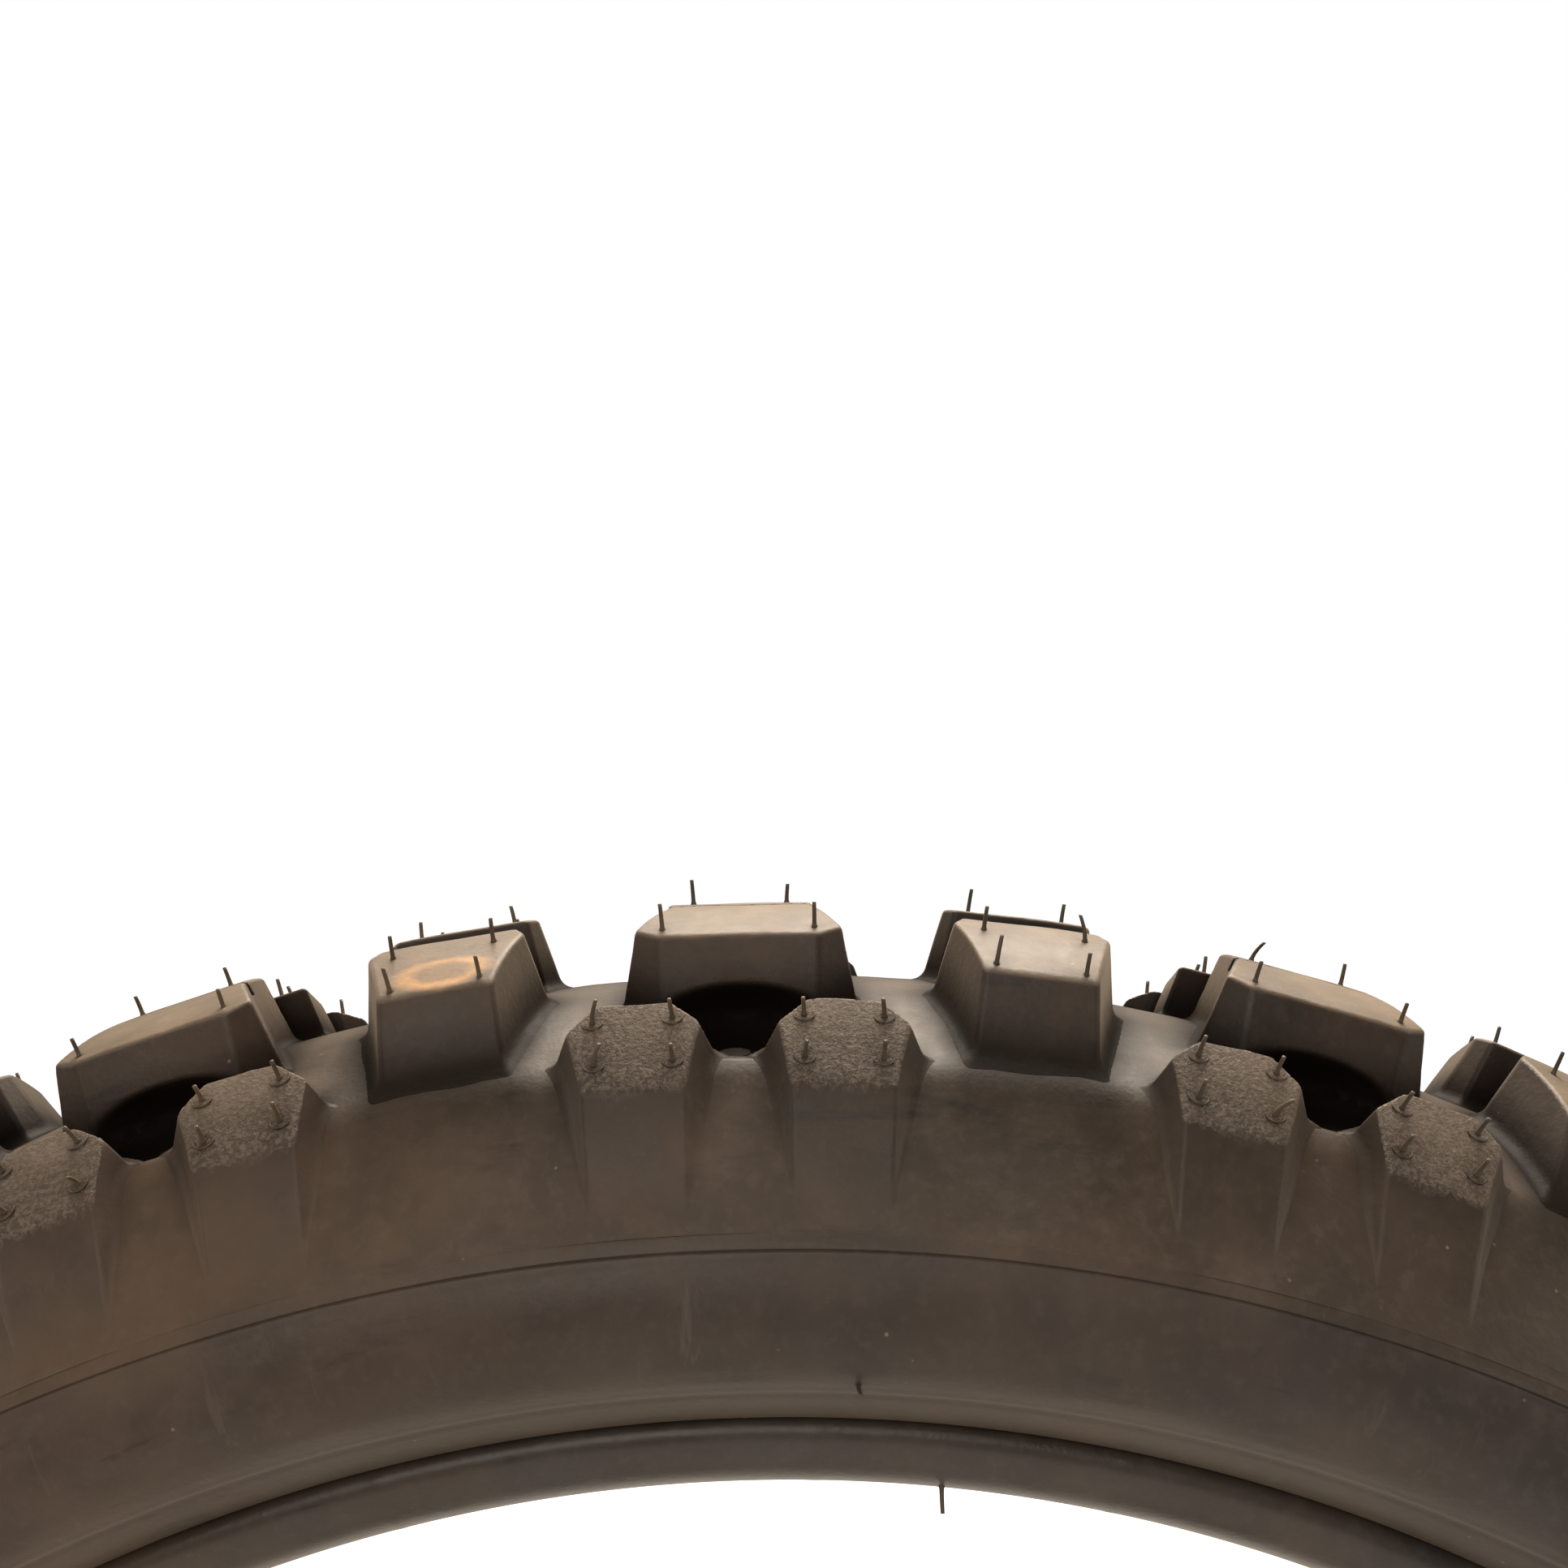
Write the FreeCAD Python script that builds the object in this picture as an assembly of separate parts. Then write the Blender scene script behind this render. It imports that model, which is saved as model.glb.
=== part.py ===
import FreeCAD, Part
import math
import os

# Off-road motorcycle tyre, 19 inch rim, bare (not mounted, not inflated).
# Frame: origin at the centre of the tyre, the spin axis is Y, +Z is up.
# "left" is the -Y half, "right" is the +Y half. Every section is a list of (w, r):
# w is the distance from the centre plane, r the radius. Millimetres and degrees.

V = FreeCAD.Vector
ORIGIN = V(0, 0, 0)
SPIN_AXIS = V(0, 1, 0)
SIDES = ((-1, "left"), (1, "right"))

# ---------------------------------------------------------------- driving dimensions
PITCHES = 21                     # tread pattern pitches around the tyre
PITCH = 360.0 / PITCHES
FIRST_ANGLE = -1.7               # first pitch centre, from +Z towards +X
SEAT_R = 241.3                   # bead seat radius, 19 inch rim
TOE_W = 22.5                     # bead toe
HEEL_W = 31.5                    # outer end of the cylindrical seat
CROWN_TOP_R = 315.3              # tread base at the centre plane
CROWN_ARC_R = 88.3               # crown arc of the tread base
LINER_T = 1.2
PLY_T = 0.9                      # each carcass ply
BREAKER_T = 0.9                  # each breaker ply
CHAFER_T = 0.6
WIRE_D = 1.2
WIRE_PITCH = 1.3
WIRE_ROWS, WIRE_COLS = 3, 4      # rows stack in r, columns in w
SPEW_R = 0.55                    # vent spew (rubber whisker)
KNOB_SPEW_L = 5.0
SIDE_SPEW_L = 4.0                # on the sidewall and the bead
SIDE_SPEWS = 6                   # around the tyre, in each ring

# bead wrap: outside of the box around the wires
WRAP_T = 0.5
WRAP_GAP = 0.3                   # slit in the top wall of the wrap
WRAP_IN_W = 28.0
WRAP_OUT_W = WRAP_IN_W + 2 * WRAP_T + WIRE_COLS * WIRE_PITCH
WRAP_BOTTOM_R = 244.7
WRAP_TOP_R = 249.7

os.makedirs("parts", exist_ok=True)


# ---------------------------------------------------------------- helpers
def same_point(p, q):
    return abs(p[0] - q[0]) + abs(p[1] - q[1]) <= 1e-6


def without_repeats(points):
    kept = []
    for p in points:
        if not kept or not same_point(p, kept[-1]):
            kept.append(p)
    if same_point(kept[0], kept[-1]):
        kept.pop()
    return kept


def turned(points):
    """Closed (w, r) section turned once about the spin axis."""
    corners = [V(0, w, r) for w, r in without_repeats(points)]
    wire = Part.makePolygon(corners + [corners[0]])
    solid = Part.Face(wire).revolve(ORIGIN, SPIN_AXIS, 360)
    if solid.Volume < 0:
        solid = Part.Solid(solid.Shells[0].reversed())
    return solid


def both_sides(inner, outer):
    """Layer across both halves, between two half curves that start at the centre plane."""
    inner_mirror = [(-w, r) for w, r in reversed(inner) if w > 1e-9]
    outer_mirror = [(-w, r) for w, r in outer if w > 1e-9]
    return turned(inner_mirror + inner + outer[::-1] + outer_mirror)


def one_side(points, sign):
    return turned([(sign * w, r) for w, r in points])


def arc_point(w, top, radius):
    """Point at w on an arc centred on the centre plane, whose highest radius is top."""
    return (w, top - radius + math.sqrt(radius * radius - w * w))


def midpoint(a, b):
    return ((a[0] + b[0]) / 2, (a[1] + b[1]) / 2)


def export(solids, name):
    shape = Part.makeCompound(solids) if len(solids) > 1 else solids[0]
    shape.exportStep("parts/%s.step" % name)


def ring(solids, angles):
    """Copies of the solids, drawn at +Z, turned to each angle."""
    copies = []
    for angle in angles:
        for solid in solids:
            turned_copy = solid.copy()
            turned_copy.rotate(ORIGIN, SPIN_AXIS, angle)
            copies.append(turned_copy)
    return copies


# ---------------------------------------------------------------- carcass curves
# Outer face of the inner ply, from the centre plane outwards and then down to the
# top inner corner of the bead wrap. The other carcass layers are offsets of it.
PLY_TOP_R = CROWN_TOP_R - 7.4
PLY_ARC_R = 75.0
PLY = [arc_point(w, PLY_TOP_R, PLY_ARC_R) for w in (0.0, 8.0, 16.0, 24.0, 32.0, 38.0)]
PLY += [
    (43.3, 294.2), (47.5, 289.6), (50.4, 284.4), (52.1, 279.0), (52.7, 273.8),
    (51.7, 269.6), (48.2, 265.7), (43.0, 262.2), (37.2, 258.6), (32.0, 254.6),
    (WRAP_IN_W, WRAP_TOP_R),
]
APEX = 11                        # vertex of PLY where the filler and the turn-up end
FILLER_T = (1.0, 1.6, 2.2)       # filler over the inner ply at the vertices after APEX
TURNUP_GAP = 0.3                 # filler between the end of the turn-up and the inner ply
MITRE_LIMIT = 1.4


def mitre_normals(curve):
    """Normals at the vertices, out of the tyre cavity, lengthened to keep layers even."""
    edge_normals = []
    for (w0, r0), (w1, r1) in zip(curve, curve[1:]):
        length = math.hypot(w1 - w0, r1 - r0)
        edge_normals.append(((r0 - r1) / length, (w1 - w0) / length))
    normals = [(0.0, 1.0)]       # straight up at the centre plane
    for a, b in zip(edge_normals, edge_normals[1:]):
        w, r = a[0] + b[0], a[1] + b[1]
        length = math.hypot(w, r)
        mitre = min(2.0 / length, MITRE_LIMIT)
        normals.append((w / length * mitre, r / length * mitre))
    normals.append(edge_normals[-1])
    return normals


PLY_NORMALS = mitre_normals(PLY)


def ply_point(i, distance):
    """Vertex i of PLY moved out of the cavity by distance."""
    (w, r), (normal_w, normal_r) = PLY[i], PLY_NORMALS[i]
    return (w + normal_w * distance, r + normal_r * distance)


def ply_offset(distance, count):
    """The first count vertices of PLY, moved out of the cavity by distance."""
    return [ply_point(i, distance) for i in range(count)]


def over_filler(distance):
    """Points beside the filler, at a distance from its outer face."""
    return [ply_point(APEX + 1 + i, t + distance) for i, t in enumerate(FILLER_T)]


# cavity side of the two innermost layers; both end level under the bead wrap
LAYER_END_R = WRAP_BOTTOM_R - PLY_T
PLY_EDGE_W = WRAP_IN_W - PLY_T
LINER_EDGE_W = PLY_EDGE_W - LINER_T
LAST = len(PLY) - 1
PLY_INSIDE = ply_offset(-PLY_T, LAST) + [(PLY_EDGE_W, 250.3), (PLY_EDGE_W, LAYER_END_R)]
LINER_INSIDE = (ply_offset(-PLY_T - LINER_T, LAST)
                + [(LINER_EDGE_W, 250.9), (LINER_EDGE_W, LAYER_END_R)])

# outer faces of the layers beside the filler and the bead wrap, from the top down
FILLER_OUTSIDE = over_filler(0) + [(WRAP_OUT_W + PLY_T, 252.0), (WRAP_OUT_W, WRAP_TOP_R)]
TURNUP_W = WRAP_OUT_W + PLY_T
TURNUP_OUTSIDE = over_filler(PLY_T) + [
    (TURNUP_W + PLY_T, 251.4), (TURNUP_W, 249.4), (TURNUP_W, LAYER_END_R)]
OUTER_PLY_W = TURNUP_W + PLY_T
OUTER_PLY_LOW = over_filler(2 * PLY_T) + [
    (OUTER_PLY_W + PLY_T, 250.9), (OUTER_PLY_W, 249.1), (OUTER_PLY_W, LAYER_END_R)]
CHAFER_W = OUTER_PLY_W + CHAFER_T
CHAFER_END_R = LAYER_END_R - CHAFER_T
CHAFER_TOP = over_filler(2 * PLY_T + CHAFER_T)[-1]
CHAFER_OUTSIDE = [                # from the liner edge round to the top
    (LINER_EDGE_W, CHAFER_END_R), (CHAFER_W, CHAFER_END_R), (CHAFER_W, 248.8),
    (CHAFER_W + PLY_T, 250.5), CHAFER_TOP]

# blunt end of the turn-up: its face towards the inner ply, then its outer face
TURNUP_END_IN = ply_point(APEX, TURNUP_GAP)
TURNUP_END_OUT = ply_point(APEX, PLY_T)

# outer faces of the outer ply above the apex and of the breakers
OUTER_PLY_HIGH = ply_offset(PLY_T, APEX) + [ply_point(APEX, 2 * PLY_T)]
BREAKER_1_OUTSIDE = ply_offset(PLY_T + BREAKER_T, 5)
BREAKER_2_OUTSIDE = ply_offset(PLY_T + 2 * BREAKER_T, 4)

# ---------------------------------------------------------------- outside curves
GROOVE = (40.3, 253.8)           # bottom of the groove above the bead roll
BEAD_ROLL = [                    # from the bead toe round to the groove
    (TOE_W, SEAT_R), (HEEL_W, SEAT_R), (33.6, 241.5), (35.9, 242.3), (38.1, 243.8),
    (39.9, 245.9), (41.2, 248.4), (41.8, 250.7), (41.5, 252.5), GROOVE,
]
JOIN = (54.0, 285.6)             # outer end of the tread, top of the sidewall
SIDEWALL_OUTSIDE = [             # from the tread down to the groove
    JOIN, (54.8, 284.1), (55.25, 283.9), (55.35, 283.5), (55.25, 283.1), (55.4, 282.6),
    (56.4, 279.2), (56.9, 275.6), (56.9, 272.4), (56.3, 269.4), (55.1, 266.6),
    (53.3, 264.1), (51.2, 262.0), (50.3, 261.0), (49.2, 260.1), (46.4, 257.7),
    (43.4, 255.4), (41.6, 254.3), GROOVE,
]
CROWN = [arc_point(w, CROWN_TOP_R, CROWN_ARC_R)
         for w in (0, 4, 8, 12, 16, 20, 24, 28, 32, 35)]
BUTTRESS = [(37.3, 306.9), (41.0, 302.2), (44.8, 297.4), (48.6, 292.6), (52.2, 288.0)]
TREAD_OUTSIDE = CROWN + BUTTRESS + [JOIN]


# ---------------------------------------------------------------- liner, plies, breakers
def inner_liner():
    return both_sides(LINER_INSIDE, PLY_INSIDE)


def carcass_ply_inner():
    """Ply that runs under the bead wrap and turns up outside the filler."""
    inside = PLY_INSIDE + TURNUP_OUTSIDE[::-1] + [TURNUP_END_OUT]
    outside = (PLY + [(WRAP_IN_W, WRAP_BOTTOM_R), (WRAP_OUT_W, WRAP_BOTTOM_R)]
               + FILLER_OUTSIDE[::-1] + [TURNUP_END_IN])
    return both_sides(inside, outside)


def carcass_ply_outer():
    inside = PLY[:APEX + 1] + [TURNUP_END_IN, TURNUP_END_OUT] + TURNUP_OUTSIDE
    return both_sides(inside, OUTER_PLY_HIGH + OUTER_PLY_LOW)


def breaker_ply_inner():
    """Tapers to nothing at vertex 5 of the outer ply."""
    return both_sides(OUTER_PLY_HIGH[:6], BREAKER_1_OUTSIDE + [OUTER_PLY_HIGH[5]])


def breaker_ply_outer():
    """Tapers to nothing at vertex 4 of the inner breaker."""
    return both_sides(BREAKER_1_OUTSIDE, BREAKER_2_OUTSIDE + [BREAKER_1_OUTSIDE[4]])


# ---------------------------------------------------------------- bead and sidewall
def bead_wires(sign):
    wires = []
    first = WRAP_T + WIRE_PITCH / 2
    for row in range(WIRE_ROWS):
        for column in range(WIRE_COLS):
            r = WRAP_BOTTOM_R + first + row * WIRE_PITCH
            w = WRAP_IN_W + first + column * WIRE_PITCH
            wires.append(Part.makeTorus(r, WIRE_D / 2, V(0, sign * w, 0), SPIN_AXIS))
    return wires


def bead_wrap(sign):
    """Box section with a slit in the middle of its top wall."""
    w0, w1, r0, r1 = WRAP_IN_W, WRAP_OUT_W, WRAP_BOTTOM_R, WRAP_TOP_R
    t = WRAP_T
    slit0 = (w0 + w1 - WRAP_GAP) / 2
    slit1 = (w0 + w1 + WRAP_GAP) / 2
    outside = [(slit0, r1), (w0, r1), (w0, r0), (w1, r0), (w1, r1), (slit1, r1)]
    inside = [(slit1, r1 - t), (w1 - t, r1 - t), (w1 - t, r0 + t),
              (w0 + t, r0 + t), (w0 + t, r1 - t), (slit0, r1 - t)]
    return one_side(outside + inside, sign)


def bead_filler(sign):
    section = ([(WRAP_IN_W, WRAP_TOP_R)] + FILLER_OUTSIDE[::-1]
               + [TURNUP_END_IN] + PLY[APEX:-1])
    return one_side(section, sign)


def bead_chafer(sign):
    section = [(LINER_EDGE_W, LAYER_END_R)] + CHAFER_OUTSIDE + OUTER_PLY_LOW[2:]
    return one_side(section, sign)


def rim_cushion(sign):
    section = ([(LINER_EDGE_W, LAYER_END_R), (24.2, 243.0)] + BEAD_ROLL
               + CHAFER_OUTSIDE[::-1])
    return one_side(section, sign)


def sidewall(sign):
    section = (SIDEWALL_OUTSIDE + [CHAFER_TOP] + OUTER_PLY_LOW[2::-1]
               + OUTER_PLY_HIGH[:7:-1])
    return one_side(section, sign)


def tread_base():
    inside = BREAKER_2_OUTSIDE + [BREAKER_1_OUTSIDE[4]] + OUTER_PLY_HIGH[5:9]
    return both_sides(inside, TREAD_OUTSIDE)


# ---------------------------------------------------------------- knobs
# Stations across the tyre, each (w, half length along x, r): TOP is the running face,
# FOOT lies below the tread surface. Centre stations are signed, -w is left.
# The centre knob has its wide head on the left and a thin sipe on the centre plane.
CENTRE_TOP = [
    (-19.2, 13.1, 324.8), (-16.4, 16.9, 326.2), (-9.0, 14.6, 327.6),
    (-1.2, 12.3, 328.2), (-0.9, 12.5, 325.2), (0.9, 12.5, 325.2),
    (1.2, 12.3, 328.2), (5.5, 12.4, 327.9), (9.5, 12.5, 327.4),
]
CENTRE_FOOT = [
    (-24.0, 12.9, 306.0), (-18.2, 19.8, 306.0), (-9.0, 17.5, 306.0),
    (-1.2, 15.2, 306.0), (-0.9, 15.2, 306.0), (0.9, 15.2, 306.0),
    (1.2, 15.2, 306.0), (5.5, 15.3, 306.0), (12.4, 15.5, 306.0),
]
# lower and wider block to the right of each centre knob
OFFSET_TOP = [(15.0, 17.4, 323.4), (20.0, 17.1, 321.7), (25.5, 16.6, 319.2)]
OFFSET_FOOT = [(12.7, 19.4, 306.0), (20.0, 19.2, 305.0), (28.6, 18.2, 304.0)]
# on both sides, half a pitch away from the centre knobs
INTERMEDIATE_TOP = [
    (6.8, 11.6, 327.2), (10.5, 13.2, 327.0), (16.0, 11.9, 326.1),
    (23.0, 10.3, 323.8), (27.6, 9.2, 321.7),
]
INTERMEDIATE_FOOT = [
    (3.6, 14.4, 306.0), (8.4, 16.6, 306.0), (16.0, 15.3, 305.0),
    (26.0, 13.2, 304.0), (35.0, 11.4, 303.0),
]
# shoulder knobs stand in pairs; the right-hand pair is narrower and closer together
SHOULDER_TOP = {
    -1: [(32.0, 5.65, 316.7), (35.0, 10.0, 314.0), (42.0, 7.8, 305.6), (51.2, 7.3, 289.6)],
    1: [(32.0, 5.1, 316.9), (35.0, 9.0, 314.0), (42.0, 7.1, 305.6), (51.2, 6.6, 289.6)],
}
SHOULDER_FOOT = {
    -1: [(29.6, 8.9, 303.0), (36.0, 12.8, 299.0), (41.5, 10.6, 294.0), (50.0, 8.2, 286.0)],
    1: [(30.4, 7.6, 303.0), (36.0, 11.2, 299.0), (41.5, 9.6, 294.0), (50.0, 7.5, 286.0)],
}
SHOULDER_ANGLE = {-1: 2.98, 1: 2.12}     # from the pitch centre to each knob of a pair

PITCH_ANGLES = [FIRST_ANGLE + k * PITCH for k in range(PITCHES)]
HALF_PITCH_ANGLES = [FIRST_ANGLE + (k + 0.5) * PITCH for k in range(PITCHES)]

# everything under the tread surface, cut from the foot of each knob
TRIM = both_sides([(0.0, 255.0), (60.0, 255.0)],
                  TREAD_OUTSIDE + [(57.0, 280.0), (60.0, 255.0)])


def shoulder_angles(sign):
    return [angle + s * SHOULDER_ANGLE[sign] for angle in PITCH_ANGLES for s in (-1, 1)]


def faceted_solid(outlines):
    faces = []
    for outline in outlines:
        corners = [V(*p) for p in outline]
        faces.append(Part.Face(Part.makePolygon(corners + [corners[0]])))
    shell = Part.makeShell(faces)
    solid = Part.Solid(shell)
    if solid.Volume < 0:
        solid = Part.Solid(shell.reversed())
    return solid


def knob(top, foot, sign=1):
    """Block between the top and foot stations, symmetric in x, trimmed to the tread."""
    def corner(station, x_sign):
        w, half_x, r = station
        return (x_sign * half_x, sign * w, r)

    def quad(a, b):
        return [corner(a, -1), corner(a, 1), corner(b, 1), corner(b, -1)]

    outlines = []
    for a, b, c, d in zip(top, top[1:], foot, foot[1:]):
        outlines += [quad(a, b), quad(c, d)]
        for x_sign in (-1, 1):   # flanks in triangles, since they are not flat
            outlines.append([corner(p, x_sign) for p in (a, b, d)])
            outlines.append([corner(p, x_sign) for p in (a, d, c)])
    for end in (0, -1):
        outlines.append(quad(top[end], foot[end]))
    return faceted_solid(outlines).cut(TRIM).Solids[0]


# ---------------------------------------------------------------- vent spews
# spots on the knob tops, each (x, w) and repeated at -x
CENTRE_SPOTS = [(12.4, -16.6), (8.1, 4.6)]
OFFSET_SPOTS = [(12.6, 16.6), (12.2, 24.0)]
INTERMEDIATE_SPOTS = [(7.2, 25.4), (8.4, 13.0)]
SHOULDER_SPOTS = {-1: [(6.6, 34.4), (6.2, 39.6)], 1: [(5.9, 34.4), (5.5, 39.6)]}

# rings on the lower sidewall and the lower outside of the bead roll:
# foot (w, r), direction (w, r), angle of the first spew
SIDEWALL_SPEW = (midpoint(*SIDEWALL_OUTSIDE[11:13]), (0.72, -0.69), 1.9)
BEAD_SPEW = (midpoint(*BEAD_ROLL[3:5]), (0.97, -0.22), 5.3)


def spew(x, foot, direction, sign, length):
    """Whisker standing on a surface point."""
    return Part.makeCylinder(SPEW_R, length, V(x, sign * foot[0], foot[1]),
                             V(0, sign * direction[0], direction[1]))


def top_at(stations, w):
    """Radius and slope of a knob top at w."""
    for (w0, _, r0), (w1, _, r1) in zip(stations, stations[1:]):
        if w0 <= w <= w1:
            slope = (r1 - r0) / (w1 - w0)
            return r0 + (w - w0) * slope, slope
    raise ValueError(w)


def knob_spews(top, spots, sign=1):
    """Spews square to the top of one knob."""
    spews = []
    for x, w in spots:
        r, slope = top_at(top, w)
        for x_sign in (-1, 1):
            spews.append(spew(x_sign * x, (w, r), (-slope, 1.0), sign, KNOB_SPEW_L))
    return spews


def side_spews(layout, sign):
    foot, direction, first_angle = layout
    angles = [first_angle + 360.0 / SIDE_SPEWS * k for k in range(SIDE_SPEWS)]
    return ring([spew(0, foot, direction, sign, SIDE_SPEW_L)], angles)


# ---------------------------------------------------------------- build
def export_knobs(name, suffix, top, foot, spots, angles, sign=1):
    """One set of knobs and the spews on it."""
    knobs_name = name + "_knobs" + suffix
    export(ring([knob(top, foot, sign)], angles), knobs_name)
    export(ring(knob_spews(top, spots, sign), angles), "vent_spews_" + name + suffix)


for piece in (inner_liner, carcass_ply_inner, carcass_ply_outer,
              breaker_ply_inner, breaker_ply_outer, tread_base):
    export([piece()], piece.__name__)

export_knobs("centre", "", CENTRE_TOP, CENTRE_FOOT, CENTRE_SPOTS, PITCH_ANGLES)
export_knobs("offset", "_right", OFFSET_TOP, OFFSET_FOOT, OFFSET_SPOTS, PITCH_ANGLES)

for sign, side in SIDES:
    export(bead_wires(sign), "bead_wires_" + side)
    for piece in (bead_wrap, bead_filler, bead_chafer, rim_cushion, sidewall):
        export([piece(sign)], piece.__name__ + "_" + side)
    export_knobs("intermediate", "_" + side, INTERMEDIATE_TOP, INTERMEDIATE_FOOT,
                 INTERMEDIATE_SPOTS, HALF_PITCH_ANGLES, sign)
    export_knobs("shoulder", "_" + side, SHOULDER_TOP[sign], SHOULDER_FOOT[sign],
                 SHOULDER_SPOTS[sign], shoulder_angles(sign), sign)
    export(side_spews(SIDEWALL_SPEW, sign), "vent_spews_sidewall_" + side)
    export(side_spews(BEAD_SPEW, sign), "vent_spews_bead_" + side)
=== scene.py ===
# Off-road motorcycle tyre: knobs, tread base, sidewalls, beads, inner liner and vent spews.
# It is built in millimetres in the CAD frame (centre at the origin, spin axis Y, +Z up,
# "left" is -Y) and scaled to metres when a mesh is made. In sections, w is the distance
# from the centre plane and r the radius. A side is -1 for left and 1 for right. Angles
# about the spin axis run from +Z towards +X.
import bpy
import math
import numpy as np
from mathutils import Matrix, Vector


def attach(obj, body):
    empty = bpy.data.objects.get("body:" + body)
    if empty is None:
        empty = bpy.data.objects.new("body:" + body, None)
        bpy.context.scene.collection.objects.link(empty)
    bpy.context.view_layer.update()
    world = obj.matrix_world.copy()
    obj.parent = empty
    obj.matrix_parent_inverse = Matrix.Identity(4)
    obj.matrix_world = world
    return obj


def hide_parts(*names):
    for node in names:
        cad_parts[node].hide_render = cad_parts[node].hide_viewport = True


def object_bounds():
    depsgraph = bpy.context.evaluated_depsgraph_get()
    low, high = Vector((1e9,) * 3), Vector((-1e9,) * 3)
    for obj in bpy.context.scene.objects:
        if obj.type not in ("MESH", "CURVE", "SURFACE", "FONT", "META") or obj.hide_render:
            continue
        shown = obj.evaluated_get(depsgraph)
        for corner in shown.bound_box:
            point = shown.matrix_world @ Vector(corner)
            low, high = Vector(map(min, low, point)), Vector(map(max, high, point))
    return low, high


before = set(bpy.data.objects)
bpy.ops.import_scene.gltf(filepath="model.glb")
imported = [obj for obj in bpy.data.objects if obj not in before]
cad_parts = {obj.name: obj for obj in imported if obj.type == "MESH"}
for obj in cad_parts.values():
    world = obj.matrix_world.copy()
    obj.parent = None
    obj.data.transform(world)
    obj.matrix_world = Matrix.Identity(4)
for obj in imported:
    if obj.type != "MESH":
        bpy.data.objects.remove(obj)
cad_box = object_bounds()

MM = 0.001
SIDES = ((-1, "left"), (1, "right"))
FLIP_Y = np.array([1, -1, 1])

PITCHES = 21
PITCH = 2 * math.pi / PITCHES
FIRST_ANGLE = math.radians(-1.7)
# shoulder knobs stand in pairs, this far to each side of the centre knobs
SHOULDER_ANGLE = {-1: math.radians(2.98), 1: math.radians(2.12)}
CENTRE_ROW = [FIRST_ANGLE + k * PITCH for k in range(PITCHES)]
MIDDLE_ROW = [angle + PITCH / 2 for angle in CENTRE_ROW]
SHOULDER_ROW = {side: [angle + q * SHOULDER_ANGLE[side] for angle in CENTRE_ROW for q in (-1, 1)]
                for side in (-1, 1)}

# tread base: crown arc, then a straight buttress, points as (w, r)
CROWN_TOP, CROWN_ARC, CROWN_BLEND = 315.3, 88.3, 1.6
BUTTRESS_TOP, BUTTRESS_FOOT = (37.3, 306.9), (52.2, 288.0)
_length = math.hypot(BUTTRESS_FOOT[0] - BUTTRESS_TOP[0], BUTTRESS_FOOT[1] - BUTTRESS_TOP[1])
BUTTRESS_NORMAL = ((BUTTRESS_TOP[1] - BUTTRESS_FOOT[1]) / _length,
                   (BUTTRESS_FOOT[0] - BUTTRESS_TOP[0]) / _length)
TREAD_EDGE, TREAD_EDGE_INNER = (54.0, 285.6), (53.98, 285.597)

# scoop on the left at the head of each centre knob: (w, z) of its centre, (x, w, z) radii
DISH_CENTRE, DISH_RADII, DISH_BLEND = (27.4, 312.5), (15.0, 9.6, 6.3), 0.8

# arc over the tops of the centre and intermediate knobs
TOP_CENTRE, TOP_ARC = 264.2, 64.0
TOP_STRETCH = 0.8

# rusty ring on an intermediate knob: (x, w) of its centre, (x, w) radii
RUST_CENTRE, RUST_RADII = (0.8, 22.3), (6.6, 3.7)

# shoulder knob corners (x, w, z) from the crown outwards, and half width of the inner foot
SHOULDER_CORNERS = {
    -1: ((5.65, 32.0, 316.7), (10.0, 35.0, 314.0), (7.8, 42.0, 305.6), (7.3, 50.8, 289.7), 8.0),
    1: ((5.1, 32.0, 316.9), (9.0, 35.0, 314.0), (7.1, 42.0, 305.6), (6.6, 50.8, 289.7), 7.0)}
SHOULDER_INSIDE = (0, 38, 303)


# ------------------------------------------------------------------ distance fields
def smooth_max(first, second, blend):
    gap = np.abs(first - second)
    return np.maximum(first, second) + np.maximum(blend - gap, 0.0) ** 2 / (4 * blend)


def smooth_min(first, second, blend):
    return -smooth_max(-first, -second, blend)


def split(pts):
    """The x, y and z arrays of an array of points."""
    return np.moveaxis(pts, -1, 0)


def folded(pts, side=1):
    """Points with x made positive and y times side, for shapes symmetric in x."""
    x, y, z = split(pts)
    return np.stack([np.abs(x), side * y, z], -1)


def plane(start, second, third, inside):
    """Unit normal and offset of a plane through three points, facing away from inside."""
    start, second, third, inside = (np.array(v, float) for v in (start, second, third, inside))
    normal = np.cross(second - start, third - start)
    normal /= np.linalg.norm(normal)
    if np.dot(inside - start, normal) > 0:
        normal = -normal
    return normal, float(np.dot(normal, start))


def across(corner, foot, inside):
    """Plane through a corner, its mirror in x and a third point."""
    return plane((-corner[0], corner[1], corner[2]), corner, foot, inside)


def plane_dist(pts, face):
    normal, offset = face
    x, y, z = split(pts)
    return x * normal[0] + y * normal[1] + z * normal[2] - offset


def walls(pts, first, *others):
    """Intersection of planes; the others are (plane, blend)."""
    dist = plane_dist(pts, first)
    for face, blend in others:
        dist = smooth_max(dist, plane_dist(pts, face), blend)
    return dist


def section_dist(w, r):
    crown = np.hypot(w, r - (CROWN_TOP - CROWN_ARC)) - CROWN_ARC
    buttress = ((w - BUTTRESS_TOP[0]) * BUTTRESS_NORMAL[0]
                + (r - BUTTRESS_TOP[1]) * BUTTRESS_NORMAL[1])
    return smooth_max(crown, buttress, CROWN_BLEND)


def base_dist(pts):
    x, y, z = split(pts)
    return section_dist(np.abs(y), np.hypot(x, z))


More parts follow.
